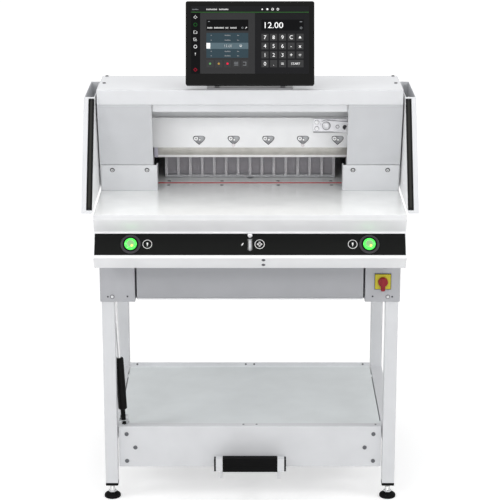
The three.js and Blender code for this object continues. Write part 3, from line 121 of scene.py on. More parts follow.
def fill(tree: Tree, node: bpy.types.Node, *ordered: object, **named: object) -> None:
    """Sets or wires the inputs of a shader node.

    Args:
        tree: Node tree that holds it.
        node: The node.
        ordered: Values or sockets for its first inputs.
        named: Values or sockets by input name, with an underscore for each blank.
    """
    wanted = {index: value for index, value in enumerate(ordered)}
    wanted |= {name.replace("_", " "): value for name, value in named.items()}
    for key, value in wanted.items():
        if isinstance(value, Socket):
            tree.links.new(value, node.inputs[key])
        else:
            node.inputs[key].default_value = value


def add_node(tree: Tree, kind: str, *ordered: object, operation: str = "", **named: object) -> bpy.types.Node:
    """Adds a shader node and fills its inputs.

    Args:
        tree: Node tree to add to.
        kind: Kind of node.
        ordered: Values or sockets for its first inputs.
        operation: What a node of mathematics does.
        named: Values or sockets by input name.

    Returns:
        The new node.
    """
    node = tree.nodes.new(f"ShaderNode{kind}")
    if operation:
        node.operation = operation
    fill(tree, node, *ordered, **named)
    return node


@dataclass(frozen=True)
class Grain:
    """How a surface varies close up.

    Args:
        patches: Patches of tone in a metre.
        spread: Share by which the colour drifts.
        scale: Grains in a metre.
        strength: Strength of the relief, 0 for none.
        depth: Depth of the relief.
    """

    patches: float = 14.0
    spread: float = 0.025
    scale: float = 950.0
    strength: float = 0.22
    depth: float = 0.06


class Surface(Enum):
    """The grain that a finish shows close up."""

    POWDER = Grain()
    CAST = Grain(60.0, 0.09, 420.0, 0.6, 0.25)
    BRUSHED = Grain(40.0, 0.08, 90.0, 0.35, 0.05)
    MOULDED = Grain(scale=1600.0, strength=0.3, depth=0.05)
    GLOSS = Grain(strength=0.0)
    RUBBER = Grain(90.0, 0.2, 700.0, 0.5, 0.1)


@dataclass(frozen=True)
class Finish:
    """A paint, metal or plastic of the machine.

    Args:
        name: Material name.
        slot: Record slot that the finish belongs to.
        color: Base colour, linear.
        surface: Kind of grain.
        roughness: Middle roughness.
        metallic: 1 for bare metal.
        coat: Weight of a clear coat.
        shine: Level of the plain mirror reflection, 0.5 for common paint.
        glow: Emission strength of a lit part.
        line_axis: Axis along which a brushed grain runs, 0 for X, 1 for Y and 2 for Z.
    """

    name: str
    slot: str
    color: Color
    surface: Surface = Surface.POWDER
    roughness: float = 0.42
    metallic: float = 0.0
    coat: float = 0.0
    shine: float = 0.5
    glow: float = 0.0
    line_axis: int = 0

    def material(self) -> bpy.types.Material:
        """Gives this finish's node material, made once.

        Returns:
            The material.
        """
        found = bpy.data.materials.get(self.name)
        if found is not None:
            return found
        material = bpy.data.materials.new(self.name)
        material.use_nodes = True
        tree = material.node_tree
        shader = tree.nodes["Principled BSDF"]
        grain = self.surface.value
        place = add_node(tree, "TexCoord").outputs["Object"]
        noise = add_node(tree, "TexNoise", Vector=place, Scale=grain.patches, Detail=TONE_DETAIL)
        tone = noise.outputs["Fac"]
        low, high = self.roughness * (1 - ROUGH_DRIFT), min(1.0, self.roughness * (1 + ROUGH_DRIFT))
        fill(tree, shader, Base_Color=self._drift(tree, tone), Metallic=self.metallic,
             Roughness=add_node(tree, "MapRange", Value=tone, To_Min=low, To_Max=high).outputs["Result"],
             Specular_IOR_Level=self.shine, Coat_Weight=self.coat, Coat_Roughness=COAT_ROUGHNESS)
        if grain.strength:
            fill(tree, shader, Normal=self._relief(tree, place))
        if self.glow:
            fill(tree, shader, Emission_Color=(*self.color, 1.0), Emission_Strength=self.glow)
        return material

    def _drift(self, tree: Tree, tone: Socket) -> Socket:
        """Lets the colour drift a little over the surface.

        Args:
            tree: Node tree to add to.
            tone: Factor that drives the drift.

        Returns:
            The colour's socket.
        """
        ramp = add_node(tree, "ValToRGB", Fac=tone)
        for element, position, way in zip(ramp.color_ramp.elements, DRIFT_ENDS, (-1, 1)):
            element.position = position
            share = 1 + way * self.surface.value.spread
            element.color = (*(min(1.0, part * share) for part in self.color), 1.0)
        return ramp.outputs["Color"]

    def _relief(self, tree: Tree, place: Socket) -> Socket:
        """Makes the grain as a bump.

        Args:
            tree: Node tree to add to.
            place: Object coordinates.

        Returns:
            The bumped normal's socket.
        """
        grain = self.surface.value
        if self.surface is Surface.BRUSHED:
            stretch = [ALONG_STRETCH if axis == self.line_axis else ACROSS_STRETCH for axis in range(3)]
            place = add_node(tree, "Mapping", Vector=place, Scale=stretch).outputs["Vector"]
        noise = add_node(tree, "TexNoise", Vector=place, Scale=grain.scale, Detail=RELIEF_DETAIL)
        bump = add_node(tree, "Bump", Strength=grain.strength, Distance=grain.depth * MM,
                        Height=noise.outputs["Fac"])
        return bump.outputs["Normal"]


WHITE_PAINT = Finish("white powder coat", "light_paint", (0.693, 0.702, 0.721), roughness=0.38)
CONSOLE_PAINT = Finish("glossy white coat", "light_paint", (0.874, 0.879, 0.893), roughness=0.3, coat=0.5)
# Brighter than the body's white: partly the carrier's own brighter coat and partly painted light in the recess
# under the hood
CARRIER_PAINT_AND_LIGHT = Finish("bright white coat", "light_paint", (0.93, 0.935, 0.945), roughness=0.32)
# Painted shade: the front panel is white like the body, and this grey stands for the shade under the console
PANEL_SHADE_PAINT = Finish("panel paint", "grey_paint", (0.36, 0.365, 0.385), roughness=0.4)
# Painted shade: the leg covers are white like the body, and this grey stands for the shade under the console
LEG_SHADE_PAINT = Finish("leg cover paint", "light_paint", (0.414, 0.419, 0.441), roughness=0.4)
# The column covers' grey is partly their own greyer paint and partly painted shade under the hood
COVER_GREY_AND_SHADE = Finish("column cover paint", "light_paint", (0.57, 0.58, 0.60), roughness=0.4)
# Painted light: the tray's up-facing floor is the body's white made lighter for the light that falls on it
TRAY_FLOOR_LIGHT = Finish("tray floor coat", "light_paint", (0.81, 0.845, 0.85), roughness=0.5)
# Painted shade: near-black on the pockets' walls for the shade inside the pockets
POCKET_WALL_SHADE = Finish("pocket wall", "light_paint", (0.07, 0.07, 0.075), roughness=0.5, shine=0.2)
POCKET_PAINT = Finish("pocket floor", "light_paint", (0.40, 0.40, 0.42), roughness=0.5)
SHADE_PAINT = Finish("grey powder coat", "grey_paint", (0.52, 0.53, 0.55), roughness=0.42)
BASE_GREY = Finish("grey terminal base", "grey_paint", (0.22, 0.22, 0.23), roughness=0.4)
WHEEL_GREY = Finish("grey hand wheel", "grey_paint", (0.60, 0.61, 0.63), Surface.MOULDED, 0.35)
CAST_PAINT = Finish("painted casting", "cast", (0.46, 0.47, 0.49), Surface.CAST, 0.6)
# The beam's near-white is partly its paint and partly painted light for the beam in the hood's shade
BEAM_PAINT_AND_LIGHT = Finish("beam paint", "cast", (0.95, 0.96, 0.97), roughness=0.45)
CLAMP_PAINT = Finish("clamp paint", "cast", (0.60, 0.61, 0.62), Surface.CAST, 0.5)
TABLE_PLATE = Finish("polished table plate", "light_paint", (0.95, 0.96, 0.955), roughness=0.22, coat=0.3)
# Painted shade: a darker copy of the table plate's white for its front faces
TABLE_FRONT_SHADE = Finish("ground table face", "light_paint", (0.78, 0.785, 0.80), roughness=0.4, coat=0.2)
# Painted light: the wings' inner faces are the body's white, made brighter for the light that falls on them
WING_INNER_LIGHT = Finish("bright inner coat", "light_paint", (0.98, 0.985, 0.99), roughness=0.3, coat=0.3)
# Painted shade: near-black on the rear cover's inner faces, for the dark inside of the machine
INSIDE_SHADE = Finish("dark lining", "black_plastic", (0.02, 0.02, 0.021), roughness=0.6, shine=0.2)
STEEL = Finish("turned steel", "steel", (0.66, 0.66, 0.67), Surface.BRUSHED, 0.3, 1.0)
ZINC = Finish("zinc plated screws", "steel", (0.60, 0.61, 0.62), Surface.BRUSHED, 0.34, 0.9)
GREY_SCREW = Finish("grey screws", "steel", (0.13, 0.135, 0.145), Surface.BRUSHED, 0.45, 0.5)
DARK_SCREW = Finish("blackened screws", "steel", (0.05, 0.05, 0.055), Surface.BRUSHED, 0.4, 0.5, shine=0.3)
LIGHT_SCREW = Finish("bright screws", "steel", (0.80, 0.80, 0.80), Surface.BRUSHED, 0.3, 0.5)
PINK_METAL = Finish("copper-tinted steel", "steel", (0.70, 0.66, 0.68), Surface.BRUSHED, 0.4, 0.4)
LILAC_METAL = Finish("lilac knife stop", "steel", (0.55, 0.535, 0.62), Surface.BRUSHED, 0.4, 0.3)
ARM_METAL = Finish("nickel-plated arm", "steel", (0.72, 0.72, 0.745), Surface.BRUSHED, 0.4, 0.35)
# Dark rings round screw heads and the pivot, painted shade at their edges; the arm's bush and shadow strip
# also take it
RING_AND_SHADE_METAL = Finish("darkened ring", "steel", (0.20, 0.20, 0.21), Surface.BRUSHED, 0.4, 0.4)
PIVOT_METAL = Finish("pivot steel", "steel", (0.62, 0.62, 0.64), Surface.BRUSHED, 0.35, 0.4)
BLADE_STEEL = Finish("ground knife steel", "knife_steel", (0.56, 0.545, 0.51), Surface.BRUSHED, 0.36, 0.55)
# Painted highlight: the honed edge is steel, and this plain near-white stands for the light it catches
EDGE_HIGHLIGHT = Finish("honed knife edge", "knife_steel", (0.985, 0.985, 0.985), Surface.BRUSHED, 0.3, coat=0.4)
RIB_METAL = Finish("anodised ribs", "aluminium", (0.317, 0.313, 0.328), Surface.BRUSHED, 0.4, 0.4,
                   line_axis=2)
SLOT_METAL = Finish("dark comb back", "aluminium", (0.19, 0.185, 0.20), Surface.BRUSHED, 0.45, 0.4,
                    line_axis=2)
FOOT_METAL = Finish("comb foot", "aluminium", (0.27, 0.275, 0.285), Surface.BRUSHED, 0.42, 0.4)
BLACK_PLASTIC = Finish("matt black plastic", "black_plastic", (0.003, 0.003, 0.003), Surface.MOULDED,
                       0.5, shine=0.1)
BLACK_RUBBER = Finish("black rubber", "rubber", (0.003, 0.003, 0.0032), Surface.RUBBER, 0.75, shine=0.1)
BLACK_PANEL = Finish("black control film", "black_gloss", (0.003, 0.0035, 0.0032), Surface.MOULDED,
                     0.4, shine=0.12)
GLASS_FRONT = Finish("display glass", "screen", (0.005, 0.005, 0.0048), Surface.GLOSS, 0.14, shine=0.13)
BAR_BLACK = Finish("black sensor bar", "black_gloss", (0.006, 0.006, 0.006), Surface.MOULDED, 0.4, shine=0.1)
# The sensor window's lighter black is partly its own glass and partly a painted reflection
BAR_GLASS_SHEEN = Finish("sensor window", "black_gloss", (0.026, 0.026, 0.023), Surface.GLOSS, 0.2, shine=0.2)
COLLAR = Finish("dark collar", "black_gloss", (0.030, 0.026, 0.033), Surface.MOULDED, 0.35, shine=0.4)
COLLAR_EDGE = Finish("collar rim", "black_gloss", (0.20, 0.18, 0.21), Surface.BRUSHED, 0.3, 0.6)
# White print, with a slight glow that is painted light
PRINT_WHITE_GLOW = Finish("white print", "black_gloss", (0.80, 0.80, 0.80), Surface.GLOSS, 0.5,
                     shine=0.1, glow=0.1)
RED_STICK = Finish("red cutting stick", "red_stick", (0.88, 0.03, 0.04), Surface.MOULDED, 0.45)
GREEN_LENS = Finish("green lens", "green_lens", (0.05, 0.80, 0.06), Surface.GLOSS, 0.16, coat=0.4, glow=1.1)
GREEN_HAZE = Finish("milky lens core", "green_lens", (0.22, 0.46, 0.18), Surface.CAST, 0.3,
                    coat=0.4, glow=0.25)
GREEN_CORE = Finish("green lamp core", "green_lens", (0.85, 0.88, 0.16), Surface.GLOSS, 0.3, glow=0.6)
YELLOW_PLATE = Finish("yellow switch plate", "yellow", (0.50, 0.43, 0.008), Surface.MOULDED, 0.42)
RED_KNOB = Finish("red switch knob", "switch_red", (0.24, 0.008, 0.014), Surface.MOULDED, 0.34, shine=0.3)


def arc_profile(radius: float, rise: float, base: float, steps: int) -> list[Pair]:
    """Gives a quarter ellipse from a rim up to the axis.

    Args:
        radius: Radius of the rim.
        rise: Height of the dome.
        base: Height of the rim.
        steps: Parts of the arc.

    Returns:
        Radius and height of each point.
    """
    turns = [i / steps * math.pi / 2 for i in range(steps + 1)]
    return [(max(0.0, radius * math.cos(a)), base + rise * math.sin(a)) for a in turns]


def band(inner: float, outer: float, low: float, high: float) -> list[Pair]:
    """Gives the section of a flat ring."""
    return [(inner, low), (outer, low), (outer, high), (inner, high)]


def facing(origin: Point, normal: Vector, up: Vector = UP) -> Matrix:
    """Gives the place of a piece that is made lying on the ground plane.

    Args:
        origin: Where its middle goes.
        normal: Where its local Z points.
        up: The direction that its local Y follows.

    Returns:
        The placing matrix.
    """
    z = normal.normalized()
    x = up.cross(z)
    if x.length < SHORTEST:
        x = RIGHT.copy()
    x.normalize()
    place = Matrix((x, z.cross(x), z)).transposed().to_4x4()
    place.translation = Vector(origin) * MM
    return place


def moved(place: Matrix, x: float, y: float, z: float = 0.0) -> Matrix:
    """Gives a place moved along its own axes."""
    return place @ Matrix.Translation(Vector((x, y, z)) * MM)


class Shape:
    """A piece under construction. Its methods take millimetres, and those that add or round return it."""

    def __init__(self) -> None:
        """Starts empty."""
        self.bm = bmesh.new()

    def _block(self, low: Point, high: Point, place: Matrix) -> list[bmesh.types.BMVert]:
        """Adds a block.

        Args:
            low: Lowest corner.
            high: Highest corner.
            place: Where it goes.

        Returns:
            The block's corners.
        """
        size = [(b - a) * MM for a, b in zip(low, high)]
        middle = [(a + b) / 2 * MM for a, b in zip(low, high)]
        local = Matrix.Translation(middle) @ Matrix.Diagonal((*size, 1.0))
        return bmesh.ops.create_cube(self.bm, size=1.0, matrix=place @ local)["verts"]

    def box(self, low: Point, high: Point, place: Matrix = Matrix()) -> "Shape":
        """Adds a block between two corners."""
        self._block(low, high, place)
        return self

    def span(self, xs: Point, ys: Point, zs: Point) -> "Shape":
        """Adds a block between two places on each axis."""
        return self.box((xs[0], ys[0], zs[0]), (xs[1], ys[1], zs[1]))

    def turned(
        self, profile: Sequence[Pair], place: Matrix, steps: int = 40, closed: bool = False
    ) -> "Shape":
        """Turns a profile of radius and height round the local Z axis.

        Args:
            profile: Radius and height of each point.
            place: Where it goes.
            steps: Faces round the axis.
            closed: Whether the last point joins the first, as on a ring.

        Returns:
            The shape.
        """
        before = set(self.bm.verts)
        verts = [self.bm.verts.new((r * MM, 0.0, h * MM)) for r, h in profile]
        pairs = list(zip(verts, verts[1:])) + ([(verts[-1], verts[0])] if closed else [])
        edges = [self.bm.edges.new(pair) for pair in pairs]
        bmesh.ops.spin(
            self.bm, geom=verts + edges, cent=(0.0, 0.0, 0.0), axis=(0.0, 0.0, 1.0),
            angle=math.tau, steps=steps, use_merge=True, use_duplicate=False,
        )
        bmesh.ops.transform(self.bm, matrix=place, verts=[v for v in self.bm.verts if v not in before])
        return self

    def plate(self, low: Point, high: Point, radius: float, place: Matrix) -> "Shape":
        """Adds a block whose upright edges are rounded.

        Args:
            low: Lowest corner.
            high: Highest corner.
            radius: Radius of the upright edges.
            place: Where it goes.

        Returns:
            The shape.
        """
        upright = (place.to_3x3() @ UP).normalized()
        edges = {edge for vert in self._block(low, high, place) for edge in vert.link_edges}
        lines = {edge: (edge.verts[1].co - edge.verts[0].co).normalized() for edge in edges}
        chosen = [edge for edge, line in lines.items() if abs(line.dot(upright)) > PARALLEL]
        most = min(high[0] - low[0], high[1] - low[1]) * CORNER_SHARE
        self._bevel(chosen, min(radius, most), CORNER_STEPS)
        return self

    def _bevel(self, edges: Sequence[bmesh.types.BMEdge], width: float, segments: int) -> None:
        """Rounds edges.

        Args:
            edges: The edges.
            width: Width of the rounding.
            segments: Faces across it.
        """
        bmesh.ops.bevel(
            self.bm, geom=edges, offset=width * MM, offset_type="OFFSET", segments=segments,
            profile=0.5, affect="EDGES", clamp_overlap=True, material=-1,
        )

    def thread(
        self, radius: float, depth: float, turns: int, low: float, high: float, place: Matrix
    ) -> "Shape":
        """Adds a round bar with a thread along its local Z axis.

        Args:
            radius: Radius over the crests.
            depth: Depth of the thread.
            turns: Number of turns.
            low: Where the bar starts.
            high: Where it ends.
            place: Where it goes.

        Returns:
            The shape.
        """
        pitch = (high - low) / turns
        core = radius - depth
        rise, crest, flank = (share * pitch for share in CREST_SHARES)
        profile = [(0.0, low), (core, low)]
        for start in (low + turn * pitch for turn in range(turns)):
            profile += [(radius, start + rise), (radius, start + crest)]
            profile += [(core, start + flank), (core, start + pitch)]
        return self.turned([*profile, (0.0, high)], place, 32)

    def text(self, label: str, high: float, place: Matrix) -> "Shape":
        """Adds raised lettering round the local origin.

        Args:
            label: What it says.
            high: Height of its capitals.
            place: Where it goes.

        Returns:
            The shape.
        """
        curve = bpy.data.curves.new("lettering", "FONT")
        curve.body = label
        curve.align_x = "CENTER"
        curve.size = high * MM / CAPITAL_SHARE
        curve.extrude = LETTER_DEPTH * MM
        curve.resolution_u = LETTER_STEPS
        holder = bpy.data.objects.new("lettering", curve)
        mesh = bpy.data.meshes.new_from_object(holder)
        mesh.transform(moved(place, 0.0, -high / 2))
        self.bm.from_mesh(mesh)
        bpy.data.objects.remove(holder)
        bpy.data.curves.remove(curve)
        bpy.data.meshes.remove(mesh)
        return self

    def prism(self, outline: Iterable[Pair], low: float, high: float, place: Matrix) -> "Shape":
        """Adds a plate with an outline on the local ground plane.

        Args:
            outline: Corners in order.
            low: Height of its lower face.
            high: Height of its upper face.
            place: Where it goes.

        Returns:
            The shape.
        """
        face = self.bm.faces.new([self.bm.verts.new(place @ (Vector((x, y, low)) * MM)) for x, y in outline])
        made = bmesh.ops.extrude_face_region(self.bm, geom=[face])
        verts = [v for v in made["geom"] if isinstance(v, bmesh.types.BMVert)]
        bmesh.ops.translate(self.bm, verts=verts, vec=(place.to_3x3() @ UP) * (high - low) * MM)
        return self

    def eased(self, width: float, segments: int = 2) -> "Shape":
        """Rounds every edge that turns enough.

        Args:
            width: Width of the rounding.
            segments: Faces across it.

        Returns:
            The shape.
        """
        bmesh.ops.recalc_face_normals(self.bm, faces=self.bm.faces)
        limit = math.radians(EDGE_TURN)
        edges = [e for e in self.bm.edges if len(e.link_faces) == 2 and e.calc_face_angle() > limit]
        self._bevel(edges, width, segments)
        return self

    def piece(
        self, name: str, finish: Finish, *replaces: str, body: str = "machine", angle: float = SHARP_TURN
    ) -> bpy.types.Object:
        """Makes the object, smooths it and lets it ride on its body.

        Args:
            name: Object name.
            finish: Its finish.
            replaces: Nodes that it stands for.
            body: Body that it rides on.
            angle: Degrees from which an edge stays sharp.

        Returns:
            The new object.
        """
        bmesh.ops.remove_doubles(self.bm, verts=self.bm.verts, dist=MERGE * MM)
        bmesh.ops.recalc_face_normals(self.bm, faces=self.bm.faces)
        bmesh.ops.triangulate(self.bm, faces=[face for face in self.bm.faces if len(face.verts) > 4])
        mesh = bpy.data.meshes.new(name)
        self.bm.to_mesh(mesh)
        self.bm.free()
        mesh.materials.append(finish.material())
        obj = bpy.data.objects.new(name, mesh)
        bpy.context.scene.collection.objects.link(obj)
        mesh.shade_smooth()
        mesh.set_sharp_from_angle(angle=math.radians(angle))
        obj.modifiers.new("even shading", "WEIGHTED_NORMAL").keep_sharp = True
        if replaces:
            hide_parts(*replaces)
        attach(obj, body)
        log.info("piece %s on %s", name, body)
        return obj


def eased_node(node: str, finish: Finish, width: float = 0.8, segments: int = 2) -> bpy.types.Object:
    """Stands a copy with rounded edges in for a rigid node.

    Args:
        node: Node name.
        finish: Its finish.
        width: Width of the rounding.
        segments: Faces across it.

    Returns:
        The new object.
    """
    source = frame["nodes"][node]
    shape = Shape()
    shape.bm.from_mesh(source.data)
    bmesh.ops.remove_doubles(shape.bm, verts=shape.bm.verts, dist=NODE_MERGE * MM)
    bmesh.ops.dissolve_limit(
        shape.bm, angle_limit=math.radians(FLAT_TURN), verts=shape.bm.verts, edges=shape.bm.edges,
        use_dissolve_boundaries=False,
    )
    shape.eased(width, segments)
    return shape.piece(f"{node}_fine", finish, node, body=source["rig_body"], angle=EDGE_TURN)


def paint_faces(obj: bpy.types.Object, finish: Finish, chosen: Callable[[Vector, Vector], bool]) -> None:
    """Gives some faces of a piece a second finish.

    Args:
        obj: The piece.
        finish: Their finish.
        chosen: Tells from a face's normal and middle whether it takes it.
    """
    obj.data.materials.append(finish.material())
    index = len(obj.data.materials) - 1
    for face in obj.data.polygons:
        if chosen(face.normal, face.center / MM):
            face.material_index = index


def faces(normal: Vector, way: Vector) -> bool:
    """Tells whether a normal points roughly a given way."""
    return normal.dot(way) > SAME_WAY


def near(place: float, wanted: float) -> bool:
    """Tells whether a place is close to a wanted one."""
    return abs(place - wanted) < CLOSE


class Drive(Enum):
    """How a screw is driven."""

    SOCKET = "socket"
    PLAIN = "plain"


@dataclass
class Screws:
    """Screw heads of one kind on one body.

    Args:
        name: Object name.
        radius: Radius of the head.
        rise: Height of the head.
        finish: Finish of the heads.
        drive: Kind of drive.
        ring: Width of a dark ring round the head, painted shade at its edge, 0 for none.
        body: Body that they ride on.
        places: Point and normal of each head.
        sunk: How far the heads reach into what they hold.
        top_shares: Radius of the top and height of the shoulder, as shares of the head.
        socket_shares: Radius and floor of the socket, as shares of the head.
        ring_lap: How far a ring reaches under its head.
        ring_z: Where a ring starts and ends.
    """

    name: str
    radius: float
    rise: float
    finish: Finish = ZINC
    drive: Drive = Drive.SOCKET
    ring: float = 0.0
    body: str = "machine"
    places: list[tuple[Point, Vector]] = field(default_factory=list)
    sunk: float = 0.3
    top_shares: Pair = (0.86, 0.6)
    socket_shares: Pair = (0.45, 0.25)
    ring_lap: float = 0.4
    ring_z: Pair = (-0.2, 0.5)

    def at(self, normal: Vector, points: Iterable[Point], signs: Sequence[int] = (-1, 1)) -> "Screws":
        """Adds heads, as a rule on both sides of the middle.

        Args:
            normal: Their direction, turned round on the left where it is sideways.
            points: Their places on the right.
            signs: Sides to put them on.

        Returns:
            These screws.
        """
        for sign in signs:
            out = normal * sign if normal.x else normal
            self.places += [((sign * x, y, z), out) for x, y, z in points]
        return self

    def build(self) -> None:
        """Makes all the heads as one piece, and their rings as another."""
        heads, rings = Shape(), Shape()
        r, top = self.radius, self.rise
        (inner, shoulder), (hole, floor) = self.top_shares, self.socket_shares
        profile = [(0.0, -self.sunk), (r, -self.sunk), (r, top * shoulder), (r * inner, top)]
        if self.drive is Drive.SOCKET:
            profile += [(r * hole, top), (r * hole, top * floor), (0.0, top * floor)]
        else:
            profile += [(0.0, top)]
        for point, normal in self.places:
            place = facing(point, normal)
            heads.turned(profile, place, 20)
            # A dark ring round each head is painted shade at its edge
            if self.ring:
                rings.turned(band(r - self.ring_lap, r + self.ring, *self.ring_z), place, 24, closed=True)
        if self.ring:
            rings.piece(f"{self.name}_rings", RING_AND_SHADE_METAL, body=self.body)
        heads.piece(self.name, self.finish, body=self.body)


@dataclass
class Stand:
    """Square legs and rails, the strut's bracket and the levelling feet."""

    leg_x: Pair = (402, 440)
    leg_y: Outline = ((-365, -327), (242, 280))
    leg_z: Pair = (50, 841)
    rail_y: Pair = (-329.5, 244.5)
    rail_z: Outline = ((179, 217), (803, 841))
    tube_round: float = 2.2
    bracket: Outline = ((-422.2, -416.2), (-328, -285), (675, 705))
    edge: float = 0.8
    pin_place: Place = (0, -300, 690)
    pin_radius: float = 4
    pin_x: Pair = (-420, -404)
    pad_radius: float = 25
    pad_round: float = 2
    pad_edge: float = 6
    pad_top: float = 17
    stud_radius: float = 8
    neck_share: float = 1.2
    stud_lap: float = 1
    thread_depth: float = 0.5
    thread_turns: int = 13
    nut_radius: float = 13
    nut_high: float = 5
    nut_gap: float = 0.4
    nut_edge: float = 0.7
    nut_turn: float = 25.0
    cap_z: Pair = (42, 50.5)
    cap_half: float = 19.3
    cap_corner: float = 4

    def build(self) -> None:
        """Makes the stand's pieces."""
        for side, sign in SIDES:
            tubes = Shape()
            xs = sorted(sign * x for x in self.leg_x)
            for ys in self.leg_y:
                tubes.span(xs, ys, self.leg_z)
            for zs in self.rail_z:
                tubes.span(xs, self.rail_y, zs)
            tubes.eased(self.tube_round, 3).piece(f"stand_{side}_fine", WHITE_PAINT, f"stand_{side}")
            for end in ("front", "rear"):
                self._foot(f"foot_{end}_{side}")
        Shape().span(*self.bracket).eased(self.edge).piece("strut_bracket", WHITE_PAINT)
        r, (start, stop), e = self.pin_radius, self.pin_x, self.edge
        profile = [(0, start), (r, start), (r, stop - e), (r - e, stop), (0, stop)]
        Shape().turned(profile, facing(self.pin_place, RIGHT), 28).piece("strut_upper_pin", STEEL)

    def _foot(self, node: str) -> None:
        """Makes one foot.

        Args:
            node: The foot's node.
        """
        low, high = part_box(node)
        place = Matrix.Translation(((low[0] + high[0]) / 2, (low[1] + high[1]) / 2, 0.0))
        r, top, neck = self.pad_radius, self.pad_top, self.stud_radius * self.neck_share
        dome = [point for point in arc_profile(r, top - self.pad_edge, self.pad_edge, 9) if point[0] > neck]
        rim = [(0, 0), (r - self.pad_round, 0), (r, self.pad_round)]
        pad = Shape().turned([*rim, *dome, (neck, top), (0, top)], place, 56)
        pad.piece(f"{node}_pad", BLACK_RUBBER, node)
        (under, over), lap = self.cap_z, self.stud_lap
        stud = Shape().thread(
            self.stud_radius, self.thread_depth, self.thread_turns, top - lap, under + lap, place)
        stud.piece(f"{node}_stud", LIGHT_SCREW)
        nut = Shape().turned(
            band(0, self.nut_radius, 0, self.nut_high), moved(place, 0, 0, top + self.nut_gap), 6)
        nut.eased(self.nut_edge).piece(f"{node}_nut", ZINC, angle=self.nut_turn)
        half = self.cap_half
        cap = Shape().plate((-half, -half, under), (half, half, over), self.cap_corner, place)
        cap.eased(self.edge).piece(f"{node}_cap", BLACK_PLASTIC)


@dataclass
class Shelf:
    """Tray between the legs with its deep apron."""

    floor: float = 214
    apron_head: Pair = (6.4, 2.2)
    rivet_head: Pair = (3.2, 0.8)
    apron_screws: tuple[Point, ...] = ((375, -345, 203), (349, -345, 159.5), (375, -345, 115.7))
    front_rivets: tuple[Point, ...] = ((382, -328, 228), (20, -328, 228))
    rear_rivets: tuple[Point, ...] = ((376, 236, 224), (14, 236, 224))

    def build(self) -> None:
        """Makes the tray and its screws."""
        tray = eased_node("shelf_tray", WHITE_PAINT)
        # The tray's up-facing floor takes a lighter white as painted light; the rest of the tray keeps the
        # body's white
        paint_faces(tray, TRAY_FLOOR_LIGHT, lambda normal, middle: faces(normal, UP) and near(middle.z, self.floor))
        Screws("apron_screws", *self.apron_head, GREY_SCREW).at(FRONT, self.apron_screws).build()
        rivets = Screws("tray_rivets", *self.rivet_head, GREY_SCREW, Drive.PLAIN)
        rivets.at(UP, self.front_rivets).at(FRONT, self.rear_rivets).build()


@dataclass
class Pedal:
    """Foot pedal with its rubber sleeve and tube plugs."""

    tube_y: Pair = (-410, -390)
    tube_z: Pair = (108, 148)
    plug_x: Pair = (102.6, 108.6)
    plug_proud: float = 0.35
    tube_round: float = 1.2
    pad_half: float = 82.8
    pad_thick: float = 2.2
    pad_round: float = 2.4
    rows: int = 7
    rib_half: float = 1.3
    rib_inset: float = 4
    rib_proud: float = 0.5
    rib_sunk: float = 0.4
    rib_round: float = 0.35

    def build(self) -> None:
        """Makes the pedal's pieces."""
        eased_node("pedal_frame", WHITE_PAINT, self.tube_round, 3)
        (y0, y1), (z0, z1) = self.tube_y, self.tube_z
        plugs = Shape()
        p, t, half = self.plug_proud, self.pad_thick, self.pad_half
        for _, sign in SIDES:
            plugs.span(sorted(sign * x for x in self.plug_x), (y0 - p, y1 + p), (z0 - p, z1 + p))
        plugs.eased(self.tube_round, 3).piece("pedal_tube_plugs", BLACK_PLASTIC, body="pedal")
        pad = Shape().box((-half, y0 - t, z0 - t), (half, y1 + t, z1 + t))
        pad.eased(self.pad_round, 4).piece("pedal_rubber", BLACK_RUBBER, "pedal_pad", body="pedal")
        grip = Shape()
        wide, face = half - self.rib_inset, y0 - t
        for row in range(self.rows):
            z = z0 + (z1 - z0) / self.rows * (row + 0.5)
            zs = (z - self.rib_half, z + self.rib_half)
            grip.span((-wide, wide), (face - self.rib_proud, face + self.rib_sunk), zs)
        grip.eased(self.rib_round).piece("pedal_rubber_ribs", BLACK_RUBBER, body="pedal")


@dataclass
class Strut:
    """Gas strut between the pedal's lever and the left leg."""

    foot: Place = (-387, -300, 241)
    head: Place = (-410.5, -300, 690)
    eye_radius: float = 10
    upper_half: float = 4.5
    neck: float = 7
    hole_radius: float = 4.8
    tube_radius: float = 13.5
    rod_radius: float = 6.5
    tube_span: Pair = (27, 192)
    neck_start: float = 6
    shoulder: float = 3
    edge: float = 0.8
    rod_sunk: float = 4
    rod_neck: Outline = ((6.5, 24), (5.4, 20), (4.5, 9), (0, 9))

    def build(self) -> None:
        """Makes both halves of the strut."""
        along = Vector(self.head) - Vector(self.foot)
        place = moved(Matrix(), *self.foot) @ UP.rotation_difference(along).to_matrix().to_4x4()
        low, high = self.tube_span
        r, rod, long = self.tube_radius, self.rod_radius, along.length
        start, s, e = self.neck_start, self.shoulder, self.edge
        tube = [(0, start), (self.neck, start), (self.neck, low), (r - s, low), (r, low + s), (r, high - s)]
        hole, floor = rod + e, high - start
        tube += [(r - e, high - 1), (r - s, high), (hole, high), (hole, floor), (0, floor)]
        lower = Shape().turned(tube, place, 48)
        self._eye(lower, place, 0.0, self.neck)
        lower.piece("strut_tube_smooth", BLACK_PLASTIC, "strut_tube", body="strut_lower")
        bar = [(radius, high - self.rod_sunk) for radius in (0, rod)]
        bar += [(radius, long - below) for radius, below in self.rod_neck]
        upper = Shape().turned(bar, place)
        self._eye(upper, place, long, self.upper_half)
        upper.piece("strut_rod_smooth", STEEL, "strut_rod", body="strut_upper")

    def _eye(self, shape: Shape, place: Matrix, height: float, half: float) -> None:
        """Adds an eye across the strut.

        Args:
            shape: Shape to add to.
            place: The strut's frame.
            height: How far along the strut it sits.
            half: Half its thickness.
        """
        hole, r, e = self.hole_radius, self.eye_radius, self.edge
        ring = [(hole, -half), (r - e, -half), (r, e - half), (r, half - e), (r - e, half), (hole, half)]
        shape.turned(ring, place @ facing((0, 0, height), RIGHT), 32, closed=True)


